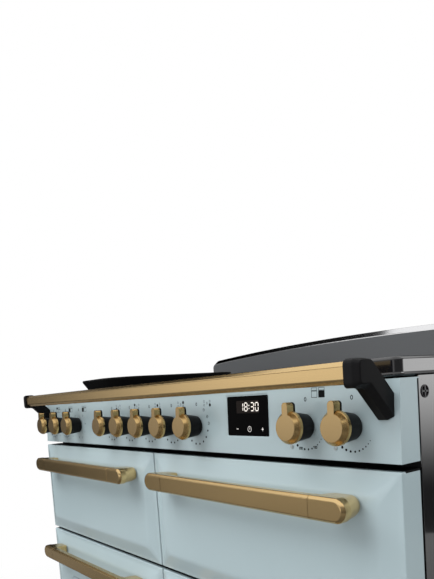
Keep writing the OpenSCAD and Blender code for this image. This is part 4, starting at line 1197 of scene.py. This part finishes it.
class PrintLayer:
    """Marks printed on one flat face, each a thin solid."""

    def __init__(self, depth: float = 0.05) -> None:
        """Starts an empty layer of the given thickness in mm."""
        self.draft = Draft()
        self.depth = depth

    def patch(self, outline: Sequence[Flat], lift: float = 0.0) -> None:
        """Fills an outline in the face's X and Z."""
        front, back = -self.depth - lift, -lift
        self.draft.loft([raised(outline, back), raised(outline, front)])

    def dot(self, x: float, z: float, radius: float) -> None:
        """Filled dot."""
        self.patch([(x + radius * math.cos(a), z + radius * math.sin(a))
                    for a in (2 * math.pi * i / 16 for i in range(16))])

    def line(self, points: Sequence[Flat], width: float) -> None:
        """Line through points, each segment with square ends."""
        for (x0, z0), (x1, z1) in zip(points, points[1:]):
            run = math.hypot(x1 - x0, z1 - z0)
            if run < 1e-6:
                continue
            ux, uz = (x1 - x0) / run * width / 2, (z1 - z0) / run * width / 2
            self.patch([
                (x0 - ux + uz, z0 - uz - ux), (x1 + ux + uz, z1 + uz - ux),
                (x1 + ux - uz, z1 + uz + ux), (x0 - ux - uz, z0 - uz + ux)])

    def ring(
        self, x: float, z: float, rx: float, rz: float, width: float, start: float = 0, end: float = 360,
    ) -> None:
        """Elliptic ring or arc.

        Args:
            x: Middle X.
            z: Middle Z.
            rx: Radius along X to the middle of the line.
            rz: Radius along Z to the middle of the line.
            width: Line width.
            start: First angle in degrees.
            end: Last angle in degrees.
        """
        count = 32
        angles = [math.radians(start + (end - start) * i / count) for i in range(count + 1)]
        inner = [(x + (rx - width / 2) * math.cos(a), z + (rz - width / 2) * math.sin(a)) for a in angles]
        outer = [(x + (rx + width / 2) * math.cos(a), z + (rz + width / 2) * math.sin(a)) for a in angles]
        self.band(inner, outer, abs(end - start) >= 359.9)

    def band(self, inner: Sequence[Flat], outer: Sequence[Flat], closed: bool) -> None:
        """Solid band between two curves of equal counts."""
        if closed:
            inner, outer = inner[:-1], outer[:-1]
        loops = [
            raised(inner, 0.0), raised(inner, -self.depth), raised(outer, -self.depth),
            raised(outer, 0.0)]
        rings = [self.draft.add(loop) for loop in loops]
        for a, b in zip(rings, rings[1:] + rings[:1]):
            self.draft.strip(a, b, closed)
        if not closed:
            self.draft.face(*[ring[0] for ring in rings])
            self.draft.face(*[ring[-1] for ring in reversed(rings)])

    def text(self, text: str, x: float, z: float, height: float, width: float) -> None:
        """Plain figures centred on a point."""
        pitch = height * 0.85
        left = x - (len(text) * pitch - height * 0.25) / 2
        for i, char in enumerate(text):
            for run in GLYPHS[char]:
                self.line([(left + i * pitch + a * height, z + (b - 0.5) * height) for a, b in run], width)


@dataclass
class Dials:
    """Print round the knobs.

    Attributes:
        knobs: X of each knob.
    """

    knobs: Sequence[float]
    radius: float = 31.0
    zero_z: float = 36.0

    def place(self, index: int, angle: float, radius: float) -> Flat:
        """Point on a dial."""
        a = math.radians(angle)
        return self.knobs[index] + radius * math.cos(a), PLACE.knob_z + radius * math.sin(a)

    def oven(self, layer: PrintLayer, index: int) -> None:
        """Growing dots with two figures, and the cooker icon with its lit cell."""
        marks = (-123.0, -110.0, -97.0, -84.0, -72.0, -61.0, -51.0, -41.5, -32.5)
        for i, angle in enumerate(marks):
            if index == 8 and i in (1, 5):
                spot = self.place(index, angle, self.radius + 0.5)
                layer.text("200" if i == 1 else "100", *spot, 2.8, 0.75)
            else:
                layer.dot(*self.place(index, angle, self.radius), 1.85 - 0.14 * i)
        if index == 8:
            self.compartments(layer, self.knobs[index] + 22.9, PLACE.knob_z + 44.4, 3)

    def hob(self, layer: PrintLayer, index: int, zone: int) -> None:
        """Six power dots, three symbols and the zone icon with its filled dot."""
        for angle in (-124.0, -100.0, -79.0, -58.0, -37.0, -15.0):
            layer.dot(*self.place(index, angle, self.radius), 1.85)
        for angle, text in ((7.0, "5"), (27.0, "3"), (52.0, "1")):
            x, z = self.place(index, angle, self.radius + 2.5)
            layer.ring(x, z, 2.2, 2.2, 0.7, 200 if text == "5" else 0, 520 if text == "5" else 360)
            layer.line([(x - 0.9, z), (x + 0.9, z)], 0.7)
        x, z = self.knobs[index] + 30.4, PLACE.knob_z + 37.2
        for i, (dx, dz) in enumerate(((-8, -3), (-8, 3), (0, 0), (8, 3), (8, -3))):
            if i == zone:
                layer.dot(x + dx, z + dz, 2.8)
            else:
                layer.ring(x + dx, z + dz, 1.7, 1.7, 0.6)

    def grill(self, layer: PrintLayer, index: int, cell: int) -> None:
        """Arc with end marks or spaced symbols, and the icon."""
        if index == 1:
            layer.ring(self.knobs[index], PLACE.knob_z, self.radius - 1, self.radius - 1, 0.9, -122, -58)
            for dx, dz in ((-39, -27), (38, -27)):
                layer.text("+" if dx > 0 else "-", self.knobs[index] + dx, PLACE.knob_z + dz, 4.0, 0.8)
        elif index == 2:
            for dx, dz, text in ((15, -29, "2"), (-4, -29, "3"), (30, -16, "1")):
                layer.text(text, self.knobs[index] + dx, PLACE.knob_z + dz, 3.4, 0.6)
            for dx, dz in ((33, 3.5), (22, 22), (-21, 22), (-32, 4), (-28, -16)):
                layer.ring(self.knobs[index] + dx, PLACE.knob_z + dz, 1.9, 1.9, 0.5)
                layer.line([(self.knobs[index] + dx - 1.9, PLACE.knob_z + dz),
                            (self.knobs[index] + dx + 1.9, PLACE.knob_z + dz)], 0.45)
        else:
            for i, angle in enumerate((-124.0, -104.0, -84.0, -64.0, -45.0)):
                layer.dot(*self.place(index, angle, self.radius), 2.05 - 0.16 * i)
        self.compartments(layer, self.knobs[index] + 31.0, PLACE.knob_z + 37.8, cell)

    def compartments(self, layer: PrintLayer, x: float, z: float, lit: int) -> None:
        """Icon of the four doors, one of them filled."""
        cells = ((-6.4, 4.4, 9.6, 3.4), (6.2, 4.4, 10.0, 3.4), (-6.4, -2.3, 9.6, 8.2), (6.2, -2.3, 10.0, 8.2))
        for i, (dx, dz, w, h) in enumerate(cells):
            grow = 0.8 if i == lit else 0.0
            box = [(x + dx + a * (w + grow) / 2, z + dz + b * (h + grow) / 2)
                   for a, b in ((-1, -1), (1, -1), (1, 1), (-1, 1))]
            if i == lit:
                layer.patch(box)
            else:
                layer.line([*box, box[0]], 0.65)

    def build(self) -> bpy.types.Object:
        """Prints all the dials in one piece."""
        layer = PrintLayer()
        for index in range(len(self.knobs)):
            layer.ring(self.knobs[index], PLACE.knob_z + self.zero_z, 1.6, 2.4, 1.1)
            if 3 <= index <= 7:
                self.hob(layer, index, index - 3)
            elif index >= 8:
                self.oven(layer, index)
            else:
                self.grill(layer, index, (0, 2, 2)[index])
        return layer.draft.piece("dial_print", "cooker_body", PRINT, PLACE.fascia, 30)


@dataclass
class Clock:
    """Lit figures and touch fields on the clock's glass."""

    x: float = 277.5
    z: float = 58.25
    glass_y: float = 0.9
    figure_x: float = 282.6
    figure_z: float = 71.9
    figure: float = 12.0
    stroke: float = 1.4

    SEGMENTS = {
        "0": "abcdef", "1": "bc", "3": "abcdg", "8": "abcdefg"}

    def segment(self, layer: PrintLayer, name: str, x: float, z: float) -> None:
        """One bar of a figure whose lower left corner is x, z."""
        w, h, s = 6.6, self.figure, self.stroke
        ends = {
            "a": ((0, h), (w, h)), "b": ((w, h), (w, h / 2)), "c": ((w, h / 2), (w, 0)),
            "d": ((0, 0), (w, 0)),
            "e": ((0, 0), (0, h / 2)), "f": ((0, h / 2), (0, h)), "g": ((0, h / 2), (w, h / 2))}[name]
        (x0, z0), (x1, z1) = ends
        run = math.hypot(x1 - x0, z1 - z0)
        ux, uz = (x1 - x0) / run, (z1 - z0) / run
        gap, half = 0.45, s / 2
        points = []
        for along, across in ((gap, 0), (gap + half, half), (run - gap - half, half), (run - gap, 0),
                              (run - gap - half, -half), (gap + half, -half)):
            points.append((x + x0 + ux * along - uz * across, z + z0 + uz * along + ux * across))
        layer.patch(points)

    def build(self) -> list[bpy.types.Object]:
        """Makes the window, the figures and the touch fields."""
        face = shifted(PLACE.fascia, 0, self.glass_y, 0)
        window = PrintLayer(0.02)
        window.patch([(self.figure_x - 4 + x, self.figure_z + z) for x, z in rounded(52, 19, 2)])
        light = PrintLayer(0.05)
        pitch = 10.2
        left = self.figure_x - (4 * pitch + 4.6) / 2 + 1.4
        base = self.figure_z - self.figure / 2
        for i, char in enumerate("1830"):
            x = left + i * pitch + (4.6 if i > 1 else 0)
            for name in self.SEGMENTS[char]:
                self.segment(light, name, x, base)
        colon = left + 2 * pitch + 0.5
        for z in (base + 3.6, base + 8.0):
            light.patch([(colon + a, z + b) for a, b in rounded(1.7, 1.7, 0.3, 2)])
        touch = PrintLayer(0.05)
        z = 38.5
        touch.line([(251.6, z), (255.2, z)], 0.8)
        touch.ring(281.9, z, 4.1, 4.1, 0.55)
        touch.line([(281.9, z + 2.2), (281.9, z), (283.6, z)], 0.5)
        touch.line([(309.2, z), (313.0, z)], 0.8)
        touch.line([(311.1, z - 2.1), (311.1, z + 2.1)], 0.8)
        return [
            window.draft.piece("clock_field", "cooker_body", CLOCK_FIELD, face, 30),
            light.draft.piece("clock_figures", "cooker_body", CLOCK_LIGHT, shifted(face, 0, -0.02, 0), 30),
            touch.draft.piece("clock_touch", "cooker_body", CLOCK_TOUCH, face, 30)]


@dataclass
class HobPrint:
    """Rings and marks of the five zones on the glass."""

    zones: Sequence[tuple[float, float, float]] = (
        (-374.0, 160.2, 82.0), (-374.0, 408.8, 102.0), (0.0, 284.5, 122.0), (374.0, 408.8, 82.0),
        (374.0, 160.2, 102.0))

    def build(self) -> bpy.types.Object:
        """Prints the zones in one piece."""
        layer = PrintLayer(0.04)
        for x, y, r in self.zones:
            for start in (8, 98, 188, 278):
                layer.ring(x, y, r, r, 1.2, start, start + 74)
            layer.line([(x - 6, y), (x + 6, y)], 0.9)
            layer.line([(x, y - 6), (x, y + 6)], 0.9)
        top = PLACE.hob_top
        return layer.draft.piece(
            "hob_zone_print", "cooker_body", HOB_PRINT, lambda x, y, z: PLACE.row(x, z, top - y), 30)


@dataclass
class SidePlug:
    """Round cap with a cross in a side panel.

    Attributes:
        side: -1 for the left panel and 1 for the right one.
    """

    side: int
    y: float = 53.0
    z: float = 81.0
    radius: float = 7.9
    rim: float = 1.3
    arm: float = 2.6
    drop: float = 1.6
    face: float = 546.0

    def build(self) -> bpy.types.Object:
        """Lofts the base, the rim and the cross."""
        draft = Draft()
        r, inner = self.radius, self.radius - self.rim
        turns = [2 * math.pi * i / 40 for i in range(40)]
        rows = [
            (4.0, r - 0.2), (0.4, r), (0.1, r - 0.1), (0.0, r - 0.4), (0.0, inner + 0.3), (0.3, inner),
            (self.drop, inner - 0.3)]
        draft.loft([[(-d, q * math.cos(a), q * math.sin(a)) for a in turns] for d, q in rows])
        half = self.arm / 2
        for across in (True, False):
            loops = []
            for d, cut in ((self.drop + 0.1, 0.0), (0.35, 0.0), (0.1, 0.25)):
                edge = half - cut
                shape = [(-inner, -edge), (inner, -edge), (inner, edge), (-inner, edge)]
                loops.append([(-d, a, b) if across else (-d, b, -a) for a, b in shape])
            draft.loft(loops)
        name = "side_cap_right" if self.side > 0 else "side_cap_left"
        middle = shifted(PLACE.row, 0, self.y, PLACE.fascia_bottom + self.z)
        made = draft.piece(
            name, "cooker_body", BLACK_GLOSS, lambda x, y, z: middle(self.side * (self.face + x), y, z), 30)
        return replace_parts(made, "side_plugs")


class CadLook:
    """Finish and softened edges of the CAD nodes that are shown as they are."""

    SOFT = {"side_panels": 0.5, "plinth": 0.5}

    def dress(self, nodes: dict[str, bpy.types.Object]) -> int:
        """Gives every CAD node its finish.

        Args:
            nodes: CAD nodes by name.

        Returns:
            How many were dressed.
        """
        for name, finish in NODE_FINISH.items():
            made = nodes[name]
            made.data.materials.clear()
            made.data.materials.append(finish.material())
            if name in self.SOFT:
                self.soften(made, self.SOFT[name])
        return len(NODE_FINISH)

    def soften(self, made: bpy.types.Object, width: float) -> None:
        """Rounds an object's sharp edges by a width in mm."""
        weld = made.modifiers.new("weld", "WELD")
        weld.merge_threshold = 0.00001
        bevel = made.modifiers.new("soft", "BEVEL")
        bevel.width = width * MM
        bevel.segments = 3
        bevel.limit_method = "ANGLE"
        bevel.angle_limit = math.radians(35)
        bevel.harden_normals = True


# Studio


@dataclass
class Studio:
    """Floor, world, lamps and camera."""

    world_light: float = 0.74
    floor_albedo: float = 0.52
    lens: float = 35.31
    shift_x: float = -0.0012
    shift_y: float = 0.2515
    eye: Point = (0.9312, -0.8195, 0.8783)
    yaw: float = 52.9
    pitch: float = -4.3
    roll: float = 4.1

    def view_rays(self, graph: Graph) -> Sock:
        """One for camera, glossy and transmission rays."""
        path = "ShaderNodeLightPath"
        names = ("Is Camera Ray", "Is Glossy Ray", "Is Transmission Ray")
        rays = [graph.node(path, out=name) for name in names]
        return rays[0] + rays[1] + rays[2]

    def world(self) -> None:
        """White for the rays that show it, softer for the light it gives."""
        world = bpy.data.worlds.new("studio_world")
        bpy.context.scene.world = world
        world.use_nodes = True
        graph = Graph(world.node_tree)
        strength = self.view_rays(graph) * (1 - self.world_light) + self.world_light
        background = world.node_tree.nodes.new("ShaderNodeBackground")
        background.inputs[0].default_value = (1, 1, 1, 1)
        graph.feed(background.inputs[1], strength)
        target = world.node_tree.nodes.new("ShaderNodeOutputWorld")
        world.node_tree.links.new(background.outputs[0], target.inputs[0])

    def floor(self) -> bpy.types.Object:
        """Pale floor: lit near the object, so that its shadow shows, and white further out."""
        draft = Draft()
        draft.faces.append(draft.add([(-14, -14, 0), (14, -14, 0), (14, 14, 0), (-14, 14, 0)]))
        mesh = bpy.data.meshes.new("floor")
        mesh.from_pydata(draft.points, [], draft.faces)
        made = bpy.data.objects.new("floor", mesh)
        bpy.context.scene.collection.objects.link(made)
        material = bpy.data.materials.new("studio_floor")
        material.use_nodes = True
        graph = Graph(material.node_tree)
        nodes, links = material.node_tree.nodes, material.node_tree.links
        point = graph.point()
        away = graph.node("ShaderNodeVectorMath", {"operation": "LENGTH"}, {0: point}, out="Value")
        white = self.view_rays(graph) * away.ramp(0.9, 2.3, 0.55, 1.0)
        diffuse = nodes.new("ShaderNodeBsdfDiffuse")
        diffuse.inputs[0].default_value = (self.floor_albedo,) * 3 + (1,)
        light = nodes.new("ShaderNodeEmission")
        mix = nodes.new("ShaderNodeMixShader")
        graph.feed(mix.inputs[0], white)
        links.new(diffuse.outputs[0], mix.inputs[1])
        links.new(light.outputs[0], mix.inputs[2])
        target = nodes.new("ShaderNodeOutputMaterial")
        links.new(mix.outputs[0], target.inputs[0])
        mesh.materials.append(material)
        return made

    def ring(self) -> bpy.types.Object:
        """Wall of reflections round the object, seen by glossy rays only: dim low down and on the left."""
        draft = Draft()
        count, radius, high = 48, 3.2, 3.2
        turns = [2 * math.pi * i / count for i in range(count)]
        foot, top = (draft.add([(radius * math.cos(a), radius * math.sin(a) - 0.5, z) for a in turns])
                     for z in (0.0, high))
        draft.strip(foot, top)
        made = self.card("studio_ring", draft)
        graph = Graph(made.data.materials[0].node_tree)
        point = graph.point()
        x, y, z = (graph.part(point, axis) for axis in range(3))
        turn = graph.node("ShaderNodeMath", {"operation": "ARCTAN2"}, {0: -0.5 - y, 1: 0.0 - x})
        front = (
            turn.ramp(0.08, 0.84, 0.02, 1.0) - turn.ramp(1.9, 2.3, 0.0, 0.82)
            + turn.ramp(-2.45, -2.3, 0.16, 0.0))
        low = z.ramp(0.4, 0.88, 0.32, 1.0) * front
        behind = z.ramp(0.24, 0.98, 0.02, 1.0)
        facing = turn.ramp(-2.45, -2.28) * x.ramp(-0.4, 1.0) * turn.ramp(-0.6, -0.2, 1.0, 0.0)
        wall = low * (1 - facing) + behind * facing
        band = z.ramp(1.5, 1.8)
        white = z.ramp(2.5, 2.8)
        level = (wall * (1 - band) + band * 0.2) * (1 - white) + white
        self.shine(graph, level * (1 - y.ramp(0.3, 1.2) * x.ramp(-0.6, 0.4, 1.0, 0.0) * 0.97))
        return made

    def pool(self) -> bpy.types.Object:
        """Dim disc on the floor, seen by glossy rays only."""
        draft = Draft()
        turns = [math.pi * i / 24 for i in range(48)]
        draft.faces.append(draft.add([(3.19 * math.cos(a), 3.19 * math.sin(a) - 0.5, 0.003) for a in turns]))
        made = self.card("studio_pool", draft)
        graph = Graph(made.data.materials[0].node_tree)
        away = graph.node("ShaderNodeVectorMath", {"operation": "LENGTH"}, {0: graph.point()}, out="Value")
        self.shine(graph, away.ramp(0.6, 3.0, 0.12, 0.25))
        return made

    def flag(self) -> bpy.types.Object:
        """Dark card over the rear of the hob, seen by glossy rays only."""
        draft = Draft()
        draft.faces.append(draft.add([
            (-1.7, 0.8, 1.6), (-1.7, -0.5, 1.6), (-0.5, -0.5, 1.6), (-0.31, 0.1, 1.6), (-0.31, 0.8, 1.6)]))
        made = self.card("studio_flag", draft)
        graph = Graph(made.data.materials[0].node_tree)
        self.shine(graph, graph.part(graph.point(), 0).ramp(-1.6, 0.3, 0.0, 0.02))
        return made

    def card(self, name: str, draft: Draft) -> bpy.types.Object:
        """Object that only glossy rays see, with an empty material."""
        mesh = bpy.data.meshes.new(name)
        mesh.from_pydata(draft.points, [], draft.faces)
        made = bpy.data.objects.new(name, mesh)
        bpy.context.scene.collection.objects.link(made)
        made.visible_camera = made.visible_diffuse = made.visible_shadow = made.visible_transmission = False
        material = bpy.data.materials.new(name)
        material.use_nodes = True
        mesh.materials.append(material)
        return made

    def shine(self, graph: Graph, level: Sock) -> None:
        """Ends a graph with plain light of one level."""
        light = graph.tree.nodes.new("ShaderNodeEmission")
        graph.feed(light.inputs[1], level)
        target = graph.tree.nodes.new("ShaderNodeOutputMaterial")
        graph.tree.links.new(light.outputs[0], target.inputs[0])

    def lamp(self, name: str, spot: Point, aim: Point, size: float, watts: float) -> bpy.types.Object:
        """Soft area lamp.

        Args:
            name: Its name.
            spot: Where it stands.
            aim: What it points at.
            size: Its side in metres.
            watts: Its power.

        Returns:
            The lamp.
        """
        data = bpy.data.lights.new(name, "AREA")
        data.size = size
        data.energy = watts
        made = bpy.data.objects.new(name, data)
        made.location = spot
        made.rotation_euler = (Vector(aim) - Vector(spot)).to_track_quat("-Z", "Y").to_euler()
        bpy.context.scene.collection.objects.link(made)
        made.visible_camera = made.visible_glossy = False
        return made

    def camera(self) -> bpy.types.Object:
        """Camera at the photo's angle."""
        yaw, pitch, roll = (math.radians(a) for a in (self.yaw, self.pitch, self.roll))
        forward = Vector((-math.sin(yaw) * math.cos(pitch), math.cos(yaw) * math.cos(pitch), math.sin(pitch)))
        right = Vector((math.cos(yaw), math.sin(yaw), 0))
        down = forward.cross(right)
        turned = math.cos(roll) * right + math.sin(roll) * down
        below = -math.sin(roll) * right + math.cos(roll) * down
        data = bpy.data.cameras.new("camera")
        data.sensor_fit = "AUTO"
        data.lens = self.lens
        data.shift_x, data.shift_y = self.shift_x, self.shift_y
        data.clip_start, data.clip_end = 0.02, 60
        made = bpy.data.objects.new("camera", data)
        made.matrix_world = Matrix.Translation(Vector(self.eye)) @ Matrix(
            (turned, -below, -forward)).transposed().to_4x4()
        bpy.context.scene.collection.objects.link(made)
        bpy.context.scene.camera = made
        return made

    def build(self) -> None:
        """Sets everything up."""
        bpy.context.scene.view_settings.view_transform = "Standard"
        self.world()
        staged = [
            self.floor(), self.ring(), self.pool(), self.flag(),
            self.lamp("key", (-0.9, -1.6, 3.4), (0.0, -0.2, 0.6), 3.2, 186.0),
            self.lamp("side", (3.0, -0.8, 1.8), (0.3, -0.2, 0.6), 2.0, 16.0),
            self.lamp("rear", (0.6, 2.8, 2.4), (0.0, 0.3, 0.5), 2.0, 36.0)]
        self.camera()


# Assembly


KNOBS = (-492.0, -414.0, -336.0, -165.0, -87.0, -9.0, 69.0, 147.0, 399.0, 477.0)


def fronts() -> list[Front]:
    """The four pressed fronts."""
    return [
        Front("grill_front_skin", "grill_front", "grill", -1, Row.UPPER),
        Front("drawer_front_skin", "drawer_front", "drawer", 1, Row.UPPER),
        Front("left_oven_skin", "left_door_skin", "left_door", -1, Row.LOWER),
        Front("right_oven_skin", "right_door_skin", "right_door", 1, Row.LOWER)]


def handles() -> list[Handle]:
    """The four handles."""
    return [
        Handle("grill_pull", "grill_handle", "grill", -1, PLACE.upper_top),
        Handle("drawer_pull", "drawer_handle", "drawer", 1, PLACE.upper_top),
        Handle("left_oven_pull", "left_door_handle", "left_door", -1, PLACE.lower_top),
        Handle("right_oven_pull", "right_door_handle", "right_door", 1, PLACE.lower_top)]


def main() -> None:
    """Builds the looks round the frame."""
    logging.basicConfig(level=logging.INFO, format="%(message)s")
    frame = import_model()
    LOG.info("dressed %d CAD nodes", CadLook().dress(frame["nodes"]))
    knobs = [Knob(index, x) for index, x in enumerate(KNOBS, 1)]
    parts = [
        *fronts(), *handles(), Handrail(), Bracket(-1), Bracket(1), HobTrim(), *knobs, Griddle(), Upstand(),
        SidePlug(-1), SidePlug(1), Dials(KNOBS), Clock(), HobPrint()]
    for part in parts:
        built = part.build()
        for made in built if isinstance(built, list) else [built]:
            LOG.info("built %s", made.name)
    Studio().build()


if __name__ == "__main__":
    main()
